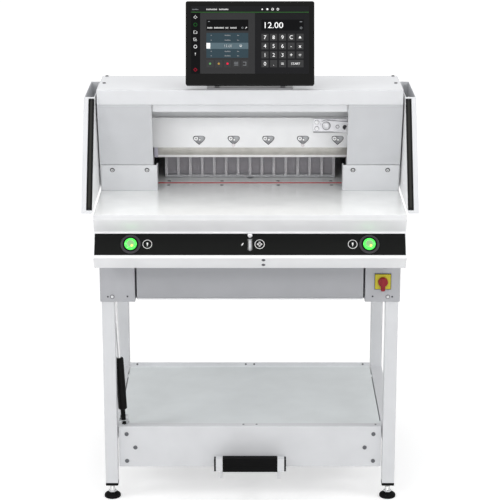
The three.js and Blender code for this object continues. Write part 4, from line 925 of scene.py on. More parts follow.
@dataclass
class BedAndTable:
    """Cast bed, table plates and cutting stick."""

    table_top: float = 937
    screw_x: Pair = (85.5, 246.5)
    screw_y: Pair = (-163, -110)
    head: Pair = (5.6, 0.35)

    def build(self) -> None:
        """Makes the bed's and the table's pieces."""
        eased_node("bed_casting", CAST_PAINT, 1.5)
        table = eased_node("table_front", TABLE_PLATE, 0.7, 3)
        # The table's front-facing faces take a darker copy of its white as painted shade
        paint_faces(table, TABLE_FRONT_SHADE, lambda normal, middle: faces(normal, FRONT))
        eased_node("table_rear", TABLE_PLATE, 0.5)
        eased_node("cutting_stick", RED_STICK, 0.3)
        sunk = Screws("table_screws", *self.head, DARK_SCREW, Drive.PLAIN)
        sunk.at(UP, [(x, y, self.table_top) for x in self.screw_x for y in self.screw_y]).build()


@dataclass
class Console:
    """Control console with its black strip, start buttons, wheel and knob."""

    brow: Place = (0, -537, 818)
    recess: Place = (0, -490, 879.5)
    chin: Place = (0, -540, 815)
    lip: Place = (0, -498, 773)
    strip_recess: float = 0.6
    button_x: float = 341
    button_radius: float = 17.2
    stem_radius: float = 6
    stem_z: Pair = (-16, -3)
    dome: Pair = (3.6, 4.9)
    haze_share: float = 0.66
    haze: Pair = (1.6, 7.25)
    core_radius: float = 4.6
    core: Pair = (1.5, 7.5)
    core_shift: Pair = (3.4, -5.4)
    core_base: float = 6
    collar: Outline = ((17.5, 0.2), (28.6, 0.2), (28.6, 1.3), (28.1, 2.2), (27, 2.7), (22.7, 2.7),
                       (21.9, 2), (18.4, 2), (17.5, 1.4))
    collar_rim: Outline = ((17.55, 2.2), (18.7, 2.08), (18.7, 1.9), (17.55, 1.9))
    knob_up: float = 25.4
    knob: Outline = ((0, -10), (2.5, -10), (2.5, 2.6), (6.6, 2.6), (7, 3), (7, 6.8), (6.5, 7.6), (5.6, 8),
                     (4, 7.6), (2, 6.7), (0, 6.4))
    icon_x: float = 293.3
    icon_up: float = 0.6
    icon_ring: Pair = (12.1, 13.5)
    icon_bars: tuple[Place, ...] = ((-2.2, -1.5, 2.4, 5, 1.6), (-0.9, -6, 1.1, 0, 0.8))
    dots_x: float = 27.5
    dots_ring: Pair = (12.8, 14.2)
    dot_ring: Pair = (1.2, 2.7)
    dot_reach: float = 4.9
    dash_x: float = -21.5
    dash_turn: float = -35.0
    dash_half: Pair = (1.4, 4.4)
    dash_corner: float = 1.2
    line_x: Pair = (4.6, 5.4)
    line_half: float = 17
    print_lift: float = 0.14
    lip_screw_x: float = 38.5
    lip_shares: Pair = (0.17, 0.64)
    lip_head: Pair = (5.4, 1.8)

    def frame_at(self, x: float, up: float) -> Matrix:
        """Gives the place of a piece on the strip.

        Args:
            x: Distance to the right of the middle.
            up: Distance up the slope.

        Returns:
            The placing matrix, with local Z out of the strip.
        """
        low, top = Vector(self.brow), Vector(self.recess)
        rise = (top - low).normalized()
        out = RIGHT.cross(rise)
        return facing((top + low) / 2 + RIGHT * x + rise * up - out * self.strip_recess, out, rise)

    def build(self) -> None:
        """Makes the console's pieces."""
        eased_node("console_shell", CONSOLE_PAINT, 0.9)
        eased_node("control_strip", BLACK_PANEL, 0.3)
        for side, sign in SIDES:
            self._start_button(side, self.frame_at(sign * self.button_x, 0.0))
        eased_node("hand_wheel", WHEEL_GREY, 0.25)
        knob = Shape().turned(self.knob, self.frame_at(0.0, self.knob_up), 48)
        knob.piece("centre_button_smooth", STEEL, "centre_button", body="centre_button")
        self._prints()
        self._screws()

    def _start_button(self, side: str, place: Matrix) -> None:
        """Makes a lit start button and its collar.

        Args:
            side: Which side of the console.
            place: Its place on the strip.
        """
        r, body = self.button_radius, f"start_button_{side}"
        stem, (low, back) = self.stem_radius, self.stem_z
        lens = [(0, low), (stem, low), (stem, back), (r, back), *arc_profile(r, *self.dome, 10)]
        Shape().turned(lens, place, 64).piece(f"{body}_lens", GREEN_LENS, body, body=body)
        haze = [(0, self.core_base), *arc_profile(r * self.haze_share, *self.haze, 6)]
        Shape().turned(haze, place).piece(f"{body}_haze", GREEN_HAZE, body=body)
        core = [(0, self.core_base), *arc_profile(self.core_radius, *self.core, 5)]
        Shape().turned(core, moved(place, *self.core_shift), 28).piece(f"{body}_core", GREEN_CORE, body=body)
        Shape().turned(self.collar, place, 72, closed=True).piece(f"start_collar_{side}", COLLAR)
        rim = Shape().turned(self.collar_rim, place, 64, closed=True)
        rim.piece(f"start_rim_{side}", COLLAR_EDGE)

    def _prints(self) -> None:
        """Prints the white rings and marks on the black strip."""
        marks = Shape()
        lift = self.print_lift
        for _, sign in SIDES:
            place = self.frame_at(sign * self.icon_x, self.icon_up)
            marks.turned(band(*self.icon_ring, 0, lift), place, closed=True)
            for x0, y0, x1, y1, corner in self.icon_bars:
                marks.plate((x0, y0, 0), (x1, y1, lift), corner, place)
        place = self.frame_at(self.dots_x, self.icon_up)
        marks.turned(band(*self.dots_ring, 0, lift), place, closed=True)
        for x, y in ((1, 0), (-1, 0), (0, 1), (0, -1)):
            spot = moved(place, x * self.dot_reach, y * self.dot_reach)
            marks.turned(band(*self.dot_ring, 0, lift), spot, 20, closed=True)
        turn = Matrix.Rotation(math.radians(self.dash_turn), 4, "Z")
        wide, high = self.dash_half
        dash = self.frame_at(self.dash_x, self.icon_up) @ turn
        marks.plate((-wide, -high, 0), (wide, high, lift), self.dash_corner, dash)
        for _, sign in SIDES:
            left, right = sorted(sign * x for x in self.line_x)
            marks.box((left, -self.line_half, 0), (right, self.line_half, lift), self.frame_at(0.0, 0.0))
        marks.piece("strip_prints", PRINT_WHITE_GLOW)

    def _screws(self) -> None:
        """Puts the two screws into the console's lower lip."""
        chin, lip = Vector(self.chin), Vector(self.lip)
        out = (lip - chin).normalized().cross(RIGHT)
        points = [chin.lerp(lip, share) + RIGHT * self.lip_screw_x for share in self.lip_shares]
        Screws("console_lip_screws", *self.lip_head, GREY_SCREW).at(out, points, (1,)).build()


@dataclass
class Housing:
    """Leg covers, front panel, side panels, pan and main switch."""

    hem_top: float = 641
    cover_screws: tuple[Point, ...] = ((408, -368, 647),)
    cover_pins: tuple[Point, ...] = ((421, -368, 647), (363, -368, 648))
    side_screws: tuple[Point, ...] = tuple((444.5, y, z) for y in (-300, 262) for z in (652, 800))
    rear_screws: tuple[Point, ...] = tuple((x, 287.3, z) for x in (150, 415) for z in (652, 800))
    cover_head: Pair = (4.34, 2.8)
    cover_ring: float = 2.6
    pin_head: Pair = (2.6, 1.04)
    side_head: Pair = (4.5, 1.8)
    switch: Place = (392.4, 0, 694.5)
    plate_half: float = 24
    plate_y: Pair = (368, 372)
    plate_corner: float = 2
    plate_round: float = 0.7
    # Black edge round the switch plate: painted shadow of the gap round it
    edge_sunk: float = 0.2
    edge_wide: Pair = (1.6, 1)
    edge_proud: Pair = (0.15, 0.12)
    knob_y: Pair = (372.4, 383.4)
    knob_radius: float = 14.5
    knob_steps: Outline = ((0, 4), (1, 2.2), (3, 1))
    tail_long: float = 27
    tail_half: float = 6.4
    tail_corner: float = 4.5
    tail_round: float = 1.4
    tail_inset: float = 2
    tail_rise: float = 1
    grip_rows: int = 5
    grip_start: float = 6
    grip_step: float = 2.4
    grip_half: float = 0.5
    grip_inset: float = 1.2
    grip_rise: float = 1.6

    def build(self) -> None:
        """Makes the housing's pieces."""
        for side, _ in SIDES:
            # Leg covers take painted shade; side panels keep the plain white
            eased_node(f"leg_cover_{side}", LEG_SHADE_PAINT)
            eased_node(f"side_panel_{side}", WHITE_PAINT)
        panel = eased_node("lower_front_panel", PANEL_SHADE_PAINT)
        # The panel's grey is painted shade under the console; its hem below hem_top takes the bright carrier
        # white as painted light on the lit fold
        paint_faces(panel, CARRIER_PAINT_AND_LIGHT, lambda normal, middle: middle.z < self.hem_top)
        eased_node("rear_and_bottom_pan", WHITE_PAINT)
        dress("hydraulic_unit", SHADE_PAINT)
        covers = Screws("leg_cover_screws", *self.cover_head, ring=self.cover_ring)
        covers.at(FRONT, self.cover_screws).build()
        Screws("leg_cover_pins", *self.pin_head, DARK_SCREW).at(FRONT, self.cover_pins).build()
        sides = Screws("side_panel_screws", *self.side_head)
        sides.at(RIGHT, self.side_screws).at(REAR, self.rear_screws).build()
        self._switch()

    def _switch(self) -> None:
        """Makes the main switch's plate, a black edge round it as painted shadow, and its red knob."""
        place = facing(self.switch, FRONT)
        half, (back, front) = self.plate_half, self.plate_y
        plate = Shape().plate((-half, -half, back), (half, half, front), self.plate_corner, place)
        plate.eased(self.plate_round).piece("switch_plate_front", YELLOW_PLATE, "switch_plate")
        # Black strips round the plate, wider on top, as painted shadow in the gap round it
        edge = Shape()
        (thick, thin), (across, upright) = self.edge_wide, self.edge_proud
        strips = ((-half, half - thick, half, half, across), (-half, -half, half, thin - half, across),
                  (-half, -half, thin - half, half, upright), (half - thin, -half, half, half, upright))
        for x0, y0, x1, y1, proud in strips:
            edge.box((x0, y0, back - self.edge_sunk), (x1, y1, front + proud), place)
        edge.piece("switch_plate_shadow_edge", BLACK_PLASTIC)
        r, (low, high) = self.knob_radius, self.knob_y
        steps = [(r - inside, high - below) for inside, below in self.knob_steps]
        disc = [(0, low), (r, low), *steps, (0, steps[-1][1])]
        Shape().turned(disc, place, 56).piece("switch_knob_disc", RED_KNOB, "switch_knob", body="switch_knob")
        wide, long, step, thin = self.tail_half, self.tail_long, self.grip_step, self.grip_half
        corner = (wide, r - self.tail_inset, high + self.tail_rise)
        tail = Shape().plate((-wide, -long, low), corner, self.tail_corner, place)
        tail.eased(self.tail_round, 3)
        inner = wide - self.grip_inset
        for y in (self.grip_start - long + step * row for row in range(self.grip_rows)):
            tail.box((-inner, y - thin, high), (inner, y + thin, high + self.grip_rise), place)
        tail.piece("switch_knob_grip", RED_KNOB, body="switch_knob")


class Portal:
    """Side frames, cross beam and the drive under the bed."""

    def build(self) -> None:
        """Makes the portal's pieces."""
        for side, _ in SIDES:
            eased_node(f"side_frame_{side}", CAST_PAINT, 1.0)
        eased_node("cross_beam", BEAM_PAINT_AND_LIGHT, 1.0)
        eased_node("knife_gear_motor", SHADE_PAINT)
        eased_node("drive_nut", STEEL)


@dataclass
class Knife:
    """Knife carrier with its screws, the blade, the pull arm and the pull bar."""

    carrier_y: float = -157.5
    pocket_deep: float = 9
    pocket_z: Pair = (1060.5, 1087.5)
    pocket_reach: float = 300
    pocket_skin: Pair = (0.6, 0.3)
    floor_facing: float = 0.7
    pocket_start: float = -153.2
    pocket_step: float = 104.2
    pocket_count: int = 5
    low_pockets: tuple[int, ...] = (1, 3)
    margin: float = 1
    heads: tuple[tuple[str, Pair, Finish, Drive, float, Place], ...] = (
        ("blade_screws", (6.7, 5.4), LIGHT_SCREW, Drive.SOCKET, 1.4, (-9.25, 9, 1078.7)),
        ("lower_blade_screws", (5.2, 2.0), PINK_METAL, Drive.PLAIN, 0, (-1, 0, 1059)),
        ("pocket_pins", (3.2, 2.4), LIGHT_SCREW, Drive.PLAIN, 1.2, (1.7, 8.6, 1074.2)),
        ("pocket_discs", (8.2, 0.7), SHADE_PAINT, Drive.PLAIN, 0, (7.4, 9, 1076.8)),
    )
    blade_x: Pair = (-278, 332)
    blade_y: Pair = (-141, -129)
    blade_z: Pair = (1016, 1112)
    bevel_z: Pair = (7.6, 29)
    bevel_flat: float = 3
    blade_edge: float = 0.25
    stop_x: Pair = (-289.5, -278.2)
    stop_z: Pair = (1018, 1050)
    arm_edge: float = 0.8
    pivot_at: Place = (228.4, -171.5, 1122)
    pivot: Outline = ((0, 0), (11.5, 0), (11.5, 1.2), (10.4, 2), (9.2, 2), (9.2, 4.4), (8.2, 5), (5.4, 5),
                      (5, 3.4), (0, 3.4))
    pivot_rim: Place = (11.3, 13, 0, 0.8)
    bush_at: Place = (262, -171.5, 1119)
    bush: Outline = ((4, 0), (5.8, 0), (5.4, 0.8), (4, 0.8))
    # Dark strip under the arm plate: painted shadow of the plate on the carrier
    lip: Outline = ((190, 289.5), (-163.1, -157.3), (1098.8, 1102.4))
    bolts: tuple[Point, ...] = ((200.5, -163.5, 1112), (200.5, -163.5, 1131))
    bolt_head: Pair = (5.2, 4.0)
    bolt_ring: float = 1.7
    socket_at: tuple[Point, ...] = ((284.4, -171.5, 1117),)
    socket_head: Pair = (7.2, 3.0)
    bar: Place = (370, -180.3, 0)
    bar_radius: float = 8
    thread_z: Pair = (742, 838)
    thread_proud: float = 0.25
    thread_depth: float = 0.7
    thread_turns: int = 34

    def build(self) -> None:
        """Makes the knife's pieces."""
        carrier = eased_node("knife_carrier", CARRIER_PAINT_AND_LIGHT, 0.7)
        # Pocket walls take near-black as painted shade; the pocket floors then take the grey floor finish
        paint_faces(carrier, POCKET_WALL_SHADE, lambda normal, middle: self._in_pocket(middle))
        paint_faces(carrier, POCKET_PAINT, lambda normal, middle: self._in_pocket(middle)
                    and normal.dot(FRONT) > self.floor_facing)
        self._heads()
        self._blade()
        self._arm()
        eased_node("pull_bar", STEEL, 0.6)
        thread = Shape().thread(
            self.bar_radius + self.thread_proud, self.thread_depth, self.thread_turns, *self.thread_z,
            moved(Matrix(), *self.bar))
        thread.piece("pull_bar_thread", STEEL, body="pull_bar")

    def _in_pocket(self, middle: Vector) -> bool:
        """Tells whether a face belongs to a pocket.

        Args:
            middle: The face's middle.

        Returns:
            True on a pocket's floor or walls.
        """
        (low, high), (near_by, past) = self.pocket_z, self.pocket_skin
        deep = middle.y - self.carrier_y
        level = low - self.margin < middle.z < high + self.margin
        return level and near_by < deep < self.pocket_deep + past and abs(middle.x) < self.pocket_reach

    def _heads(self) -> None:
        """Puts the blade screws into the pockets."""
        for name, head, finish, drive, ring, (shift, deep, z) in self.heads:
            pockets = self.low_pockets if name.startswith("lower") else range(self.pocket_count)
            points = [(self.pocket_start + self.pocket_step * index + shift, self.carrier_y + deep, z)
                      for index in pockets]
            Screws(name, *head, finish, drive, ring, "knife").at(FRONT, points, (1,)).build()

    def _blade(self) -> None:
        """Makes the blade's body, its honed edge in near-white as a painted highlight, and its stop."""
        (x0, x1), (front, rear), (edge, top) = self.blade_x, self.blade_y, self.blade_z
        honed, ground = (edge + rise for rise in self.bevel_z)
        flat = rear - self.bevel_flat
        along = Matrix(((0, 0, 1, 0), (1, 0, 0, 0), (0, 1, 0, 0), (0, 0, 0, 1)))
        body = [(front, ground), (flat, honed), (rear, honed), (rear, top), (front, top)]
        blade = Shape().prism(body, x0, x1, along).eased(self.blade_edge)
        blade.piece("blade_body", BLADE_STEEL, "knife_blade", body="knife")
        tip = [(flat, honed), (rear, edge), (rear, honed)]
        # The honed edge takes near-white as a painted highlight
        Shape().prism(tip, x0, x1, along).piece("blade_edge", EDGE_HIGHLIGHT, body="knife")
        stop = Shape().span(self.stop_x, self.blade_y, self.stop_z)
        stop.eased(self.arm_edge).piece("blade_stop", LILAC_METAL, body="knife")

    def _arm(self) -> None:
        """Makes the arm's pivot, bolts and marks, and a dark strip under the arm as painted shadow."""
        eased_node("knife_arm", ARM_METAL, 0.7)
        place = facing(self.pivot_at, FRONT)
        Shape().turned(self.pivot, place, 48).piece("arm_pivot", PIVOT_METAL, body="knife")
        # A dark ring round the pivot, painted shade at its edge
        rim = Shape().turned(band(*self.pivot_rim), place, 48, closed=True)
        rim.piece("arm_pivot_rim", RING_AND_SHADE_METAL, body="knife")
        # A dark strip under the arm plate, painted shadow on the carrier
        lip = Shape().span(*self.lip).eased(self.arm_edge)
        lip.piece("arm_lower_lip", RING_AND_SHADE_METAL, body="knife")
        bolts = Screws("arm_bolts", *self.bolt_head, LIGHT_SCREW, ring=self.bolt_ring, body="knife")
        bolts.at(FRONT, self.bolts, (1,)).build()
        dark = Screws("arm_socket_screw", *self.socket_head, DARK_SCREW, body="knife")
        dark.at(FRONT, self.socket_at, (1,)).build()
        bush = Shape().turned(self.bush, facing(self.bush_at, FRONT), 32, closed=True)
        bush.piece("arm_bush", RING_AND_SHADE_METAL, body="knife")


@dataclass
class Clamp:
    """Clamp beam, its rods, piston and cylinder."""

    middle_y: float = -100
    piston: Outline = ((0, 1112), (12, 1112), (12, 1222), (11, 1224), (0, 1224))
    barrel: Outline = ((12.3, 1126), (19.2, 1126), (20, 1127), (20, 1212), (32, 1212), (32, 1219),
                       (31, 1220), (20, 1220), (20, 1233), (19, 1234), (0, 1234), (0, 1226.2),
                       (12.3, 1226.2))
    flange_top: float = 1220
    bolt_head: Pair = (3.6, 3)
    bolt_reach: float = 26
    bolt_turn: float = 0.3
    bolt_count: int = 6

    def build(self) -> None:
        """Makes the clamp's pieces."""
        eased_node("clamp_beam", CLAMP_PAINT, 1.0)
        place = moved(Matrix(), 0, self.middle_y)
        piston = Shape().turned(self.piston, place)
        piston.piece("clamp_piston_smooth", STEEL, "clamp_piston", body="clamp")
        barrel = Shape().turned(self.barrel, place, 56, closed=True)
        barrel.piece("clamp_cylinder_smooth", STEEL, "clamp_cylinder")
        turns = [index / self.bolt_count * math.tau + self.bolt_turn for index in range(self.bolt_count)]
        reach, y, top = self.bolt_reach, self.middle_y, self.flange_top
        points = [(reach * math.cos(turn), y + reach * math.sin(turn), top) for turn in turns]
        Screws("cylinder_flange_screws", *self.bolt_head, DARK_SCREW).at(UP, points, (1,)).build()


@dataclass
class Backgauge:
    """Comb of upright ribs, its carriage, screw and motor."""

    half: float = 261
    front: float = -66
    deep: float = 16
    bottom: float = 937.6
    top: float = 1012
    rib_count: int = 15
    rib_wide: float = 9
    rib_deep: float = 11
    foot_high: float = 9
    edge: float = 0.6
    back_edge: float = 0.5
    back_lower: float = 0.4
    lap: float = 1
    rib_lap: float = 2
    screw_z: float = 896
    screw_radius: float = 10
    thread_depth: float = 1.3
    thread_turns: int = 56
    thread_y: Pair = (-93, 468)
    journal_y: Pair = (-107, 496)
    journal_radius: float = 7

    def build(self) -> None:
        """Makes the backgauge's pieces."""
        self._comb()
        eased_node("backgauge_carriage", CAST_PAINT, 0.9)
        eased_node("backgauge_motor", BLACK_PLASTIC, 1.0)
        place = facing((0, 0, self.screw_z), REAR)
        (start, stop), (first, last) = self.thread_y, self.journal_y
        r, e = self.journal_radius, self.edge
        screw = Shape().thread(self.screw_radius, self.thread_depth, self.thread_turns, start, stop, place)
        screw.turned([(0, first), (r - e, first), (r, first + e), (r, start), (0, start)], place, 32)
        screw.turned([(0, stop), (r, stop), (r, last - e), (r - e, last), (0, last)], place, 32)
        screw.piece("lead_screw_thread", STEEL, "lead_screw", body="lead_screw")

    def _comb(self) -> None:
        """Makes the ribs and the dark back and foot between them."""
        ribs = Shape()
        half, front, rear = self.half, self.front, self.front + self.deep
        shelf, ribs_back, lap = self.bottom + self.foot_high, self.front + self.rib_deep, self.lap
        pitch = (2 * half - self.rib_wide) / (self.rib_count - 1)
        for x in (index * pitch - half for index in range(self.rib_count)):
            ribs.span((x, x + self.rib_wide), (front, ribs_back + self.rib_lap), (shelf - lap, self.top))
        ribs.eased(self.edge).piece("backgauge_ribs", RIB_METAL, "backgauge_face", body="backgauge")
        zs = (shelf - lap, self.top - self.back_lower)
        back = Shape().span((lap - half, half - lap), (ribs_back, rear), zs)
        back.eased(self.back_edge).piece("backgauge_back", SLOT_METAL, body="backgauge")
        foot = Shape().span((-half, half), (front, rear), (self.bottom, shelf))
        foot.eased(self.edge).piece("backgauge_foot", FOOT_METAL, body="backgauge")


@dataclass
class Covers:
    """Hood, column covers, lower guards and rear covers."""

    shade_from: float = 500
    # Grey strip in the gap under the hood's fascia: painted shade of the fascia on the column covers' tops
    shade_strip: Outline = ((-322.2, -318), (1208.5, 1215.6))
    shade_strip_x: Pair = (286.5, 443.5)
    hood_screws: tuple[Point, ...] = ((430, -106, 1260), (430, -220, 1260))
    hood_head: Pair = (5.0, 2.2)
    column_foot: Place = (0, -234, 937)
    column_head: Place = (0, -322, 1210)
    guard_screw_x: Pair = (408.4, 305.5)
    guard_screw_z: float = 1006
    guard_washer: Pair = (7.0, 1.2)
    guard_head: Pair = (4.4, 3.0)
    wall_screws: tuple[Point, ...] = ((425, -44, 960), (425, -44, 1090), (425, -44, 1200))
    tunnel_screws: tuple[Point, ...] = ((310, 60, 935), (310, 460, 935), (100, 500, 890))
    rear_head: Pair = (4.2, 1.7)

    def build(self) -> None:
        """Makes the covers' pieces."""
        eased_node("top_cover", WHITE_PAINT, 0.6)
        for side, _ in SIDES:
            eased_node(f"column_cover_{side}", COVER_GREY_AND_SHADE, 0.4)
            eased_node(f"lower_guard_{side}", WHITE_PAINT, 0.5)
        rear = eased_node("rear_cover", WHITE_PAINT)
        # The rear cover's inner faces, facing forward at the back and inward at the sides, take near-black as
        # painted shade
        paint_faces(rear, INSIDE_SHADE, lambda normal, middle:
                    faces(normal, FRONT) and middle.y > self.shade_from
                    or abs(normal.x) > SAME_WAY and normal.x * middle.x < 0)
        # A grey strip under the fascia, painted shade on the column covers' tops
        shade_strip = Shape()
        for _, sign in SIDES:
            shade_strip.span(sorted(sign * x for x in self.shade_strip_x), *self.shade_strip)
        shade_strip.piece("hood_gap_shade_strip", SHADE_PAINT)
        eased_node("rear_housing", WHITE_PAINT)
        Screws("hood_screws", *self.hood_head, DARK_SCREW).at(UP, self.hood_screws).build()
        foot, head = Vector(self.column_foot), Vector(self.column_head)
        point = foot.lerp(head, (self.guard_screw_z - foot.z) / (head.z - foot.z))
        points = [(x, point.y, point.z) for x in self.guard_screw_x]
        out = RIGHT.cross((head - foot).normalized())
        Screws("guard_washers", *self.guard_washer, DARK_SCREW, Drive.PLAIN).at(out, points).build()
        Screws("guard_screws", *self.guard_head, LIGHT_SCREW).at(out, points).build()
        rear_screws = Screws("rear_cover_screws", *self.rear_head)
        rear_screws.at(REAR, self.wall_screws).at(RIGHT, self.tunnel_screws).build()


@dataclass
class LightGuards:
    """Side wings with their black sensor bars."""

    wing_inner: float = 448.5
    bar_wide: float = 16.3
    tip: Place = (0, -527, 943)
    shoulder: Place = (0, -357, 1243)
    window_shares: Pair = (0.05, 0.975)
    window_half: float = 3
    window_z: Pair = (-0.2, 0.3)
    window_corner: float = 2.4
    screw_gaps: Pair = (-6, 3)
    screw_head: Pair = (2.4, 0.8)

    def build(self) -> None:
        """Makes the wings' pieces."""
        for side, sign in SIDES:
            wing = eased_node(f"wing_{side}", WHITE_PAINT, 0.9)
            # The wing's inner face takes a brighter copy of its white as painted light
            paint_faces(wing, WING_INNER_LIGHT, lambda normal, middle, inward=-sign * RIGHT:
                        faces(normal, inward) and near(abs(middle.x), self.wing_inner))
            eased_node(f"light_bar_{side}", BAR_BLACK, 1.2, 3)
            self._window(side, sign)

    def _window(self, side: str, sign: int) -> None:
        """Lays the long optical window and the end screws on a bar.

        Args:
            side: Which wing.
            sign: -1 on the left, 1 on the right.
        """
        low, high = Vector(self.tip), Vector(self.shoulder)
        rise = (high - low).normalized()
        out = RIGHT.cross(rise)
        start, stop = (share * (high - low).length for share in self.window_shares)
        foot = low + RIGHT * sign * (self.wing_inner + self.bar_wide / 2)
        half, (sunk, proud) = self.window_half, self.window_z
        # The window's lighter black is partly a painted reflection
        glass = Shape().plate(
            (-half, start, sunk), (half, stop, proud), self.window_corner, facing(foot, out, rise))
        glass.piece(f"light_bar_window_{side}", BAR_GLASS_SHEEN)
        ends = [foot + rise * (end + gap) for end, gap in zip((start, stop), self.screw_gaps)]
        Screws(f"light_bar_screws_{side}", *self.screw_head, DARK_SCREW).at(out, ends, (1,)).build()


class Tone(Enum):
    """A colour that the terminal's display shows."""

    HEADER = (0.009, 0.009, 0.010)
    LINE_GREEN = (0.035, 0.17, 0.03)
    BLACK = (0.0025, 0.0025, 0.003)
    LEFT = (0.026, 0.026, 0.027)
    FAINT = (0.17, 0.18, 0.19)
    SOFT = (0.46, 0.46, 0.46)
    WHITE = (0.80, 0.80, 0.80)
    DARK_GREEN = (0.008, 0.07, 0.012)
    DARK_RED = (0.26, 0.004, 0.018)
    LIST = (0.026, 0.044, 0.055)
    ROW = (0.075, 0.110, 0.128)
    KEY = (0.032, 0.032, 0.033)
    DIM_GREEN = (0.09, 0.25, 0.09)
    AMBER = (0.33, 0.20, 0.05)
    RED = (0.75, 0.01, 0.05)

    def finish(self) -> Finish:
        """Returns the lit finish of this colour."""
        name = f"display {self.name.lower().replace('_', ' ')}"
        return Finish(name, "screen", self.value, Surface.GLOSS, 0.3, shine=0.06, glow=0.35)


@dataclass
class Terminal:
    """Tilting touch terminal, whose display is laid out on a grid of columns and rows."""

    front: Place = (0, -335, 1275.9)
    tilt: float = 15.8
    cell: float = 2.893
    layer_step: float = 0.05
    layer_thick: float = 0.12
    ring_z: Pair = (0.05, 0.2)
    text_lift: float = 0.15
    mark_pitch: float = 1.15
    mark_share: float = 0.72
    mark_drop: float = 0.25
    key_capital: float = 3.7
    key_counts: tuple[int, ...] = (5, 5, 5, 3)
    folder_rows: Pair = (32.4, 39.6)
    folder_bars: tuple[tuple[Tone, Pair, Pair], ...] = (
        (Tone.SOFT, (193.6, 196.0), (-1.6, -1.2)),
        (Tone.SOFT, (193.6, 197.0), (1.2, 1.6)),
        (Tone.WHITE, (193.6, 194.0), (-1.2, 1.2)),
    )
    list_rows: Place = (35.6, 40.4, 51.6, 56.0)
    list_words: tuple[Place, ...] = ((224.6, 230.6, 0.6), (237.0, 239.2, 0.5))
    list_dot: Place = (210.6, 211.6, 0.4)
    line_steps: Place = (-1.4, 0.0, 1.4)
    line_half: Pair = (2.0, 0.25)
    hook_bars: tuple[Outline, ...] = (
        ((-1.8, 1.4), (-1.8, -1.3)), ((-1.8, 1.4), (1.3, 1.8)), ((0.9, 1.4), (-1.3, 1.3)))
    middle: float = 249.8
    foot: float = 85.3
    keys: tuple[str, ...] = ("789C", "456-x", "123+÷", "0.=")
    columns: Outline = (
        (261.2, 268.3), (269.9, 276.9), (278.7, 285.7), (287.5, 294.3), (296.2, 303.2))
    rows: Outline = ((34.0, 40.9), (42.8, 49.6), (51.6, 58.6), (60.2, 67.5))
    small_keys: Outline = (
        (206.4, 213.5), (215.1, 222.2), (223.8, 230.9), (232.5, 239.6), (241.1, 248.1))
    areas: tuple[tuple[Tone, Pair, Pair, int], ...] = (
        (Tone.HEADER, (190.9, 308.6), (6.6, 73.8), 1),
        (Tone.LINE_GREEN, (190.9, 308.6), (12.3, 12.65), 2),
        (Tone.BLACK, (190.9, 200.1), (13.2, 73.8), 2),
        (Tone.LEFT, (200.1, 254.7), (13.2, 73.8), 2),
        (Tone.HEADER, (256.1, 308.6), (13.2, 73.8), 2),
        (Tone.BLACK, (206.3, 248.1), (19.9, 30.8), 3),
        (Tone.BLACK, (261.1, 303.4), (19.9, 30.8), 3),
        (Tone.LIST, (206.3, 248.1), (33.1, 58.0), 3),
        (Tone.ROW, (206.3, 248.1), (43.0, 49.1), 4),
        (Tone.WHITE, (206.4, 210.1), (43.2, 48.8), 5),
        (Tone.WHITE, (196.6, 197.0), (31.5, 33.6), 3),
        (Tone.WHITE, (245.8, 246.8), (27.2, 28.0), 4),
        (Tone.SOFT, (245.0, 246.0), (28.0, 28.8), 4),
        (Tone.SOFT, (195.4, 196.4), (39.0, 40.4), 3),
        (Tone.SOFT, (194.8, 195.8), (52.9, 54.4), 3),
        (Tone.SOFT, (195.0, 195.6), (54.9, 55.5), 3),
        (Tone.FAINT, (208.0, 209.6), (21.4, 22.2), 4),
        (Tone.FAINT, (299.4, 301.8), (21.7, 22.4), 4),
    )
    words: tuple[tuple[Tone, Pair, Pair, int], ...] = (
        (Tone.FAINT, (192.4, 198.6), (9.2, 10.2), 2),
        (Tone.SOFT, (206.3, 217.2), (9.0, 10.4), 2),
        (Tone.SOFT, (219.0, 228.5), (9.0, 10.4), 2),
        (Tone.SOFT, (207.4, 212.4), (27.3, 28.8), 4),
        (Tone.SOFT, (214.0, 224.0), (27.3, 28.8), 4),
        (Tone.SOFT, (225.4, 228.4), (27.3, 28.8), 4),
        (Tone.SOFT, (230.2, 236.6), (27.3, 28.8), 4),
    )
    rings: tuple[tuple[Tone, float, float, float, int, float], ...] = (
        (Tone.WHITE, 262.0, 9.6, 2.2, 3, 0.0),
        (Tone.WHITE, 267.1, 9.5, 2.0, 12, 0.0),
        (Tone.WHITE, 272.4, 9.5, 2.4, 16, 0.6),
        (Tone.WHITE, 277.6, 9.5, 2.4, 16, 0.6),
        (Tone.WHITE, 195.3, 17.4, 3.6, 4, 0.78),
        (Tone.DARK_GREEN, 195.3, 24.9, 3.8, 16, 0.7),
        (Tone.WHITE, 195.3, 46.8, 3.5, 16, 0.76),
        (Tone.DARK_RED, 195.3, 69.9, 4.0, 4, 0.66),
        (Tone.FAINT, 242.2, 28.0, 1.9, 16, 0.6),
        (Tone.WHITE, 240.6, 46.0, 2.2, 16, 0.6),
        (Tone.FAINT, 300.8, 28.2, 2.4, 16, 0.6),
        (Tone.WHITE, 299.7, 37.7, 3.4, 3, 0.0),
        (Tone.DIM_GREEN, 209.95, 63.85, 2.1, 16, 0.0),
        (Tone.AMBER, 218.65, 63.85, 2.1, 16, 0.0),
        (Tone.RED, 227.35, 63.85, 2.1, 16, 0.0),
    )
    labels: tuple[tuple[str, float, float, float, float], ...] = (
        ("12.00", 227.6, 46.1, 2.6, 1.0),
        ("12.00", 272.9, 25.4, 5.8, 1.1),
        ("START", 295.3, 63.85, 2.1, 1.0),
    )

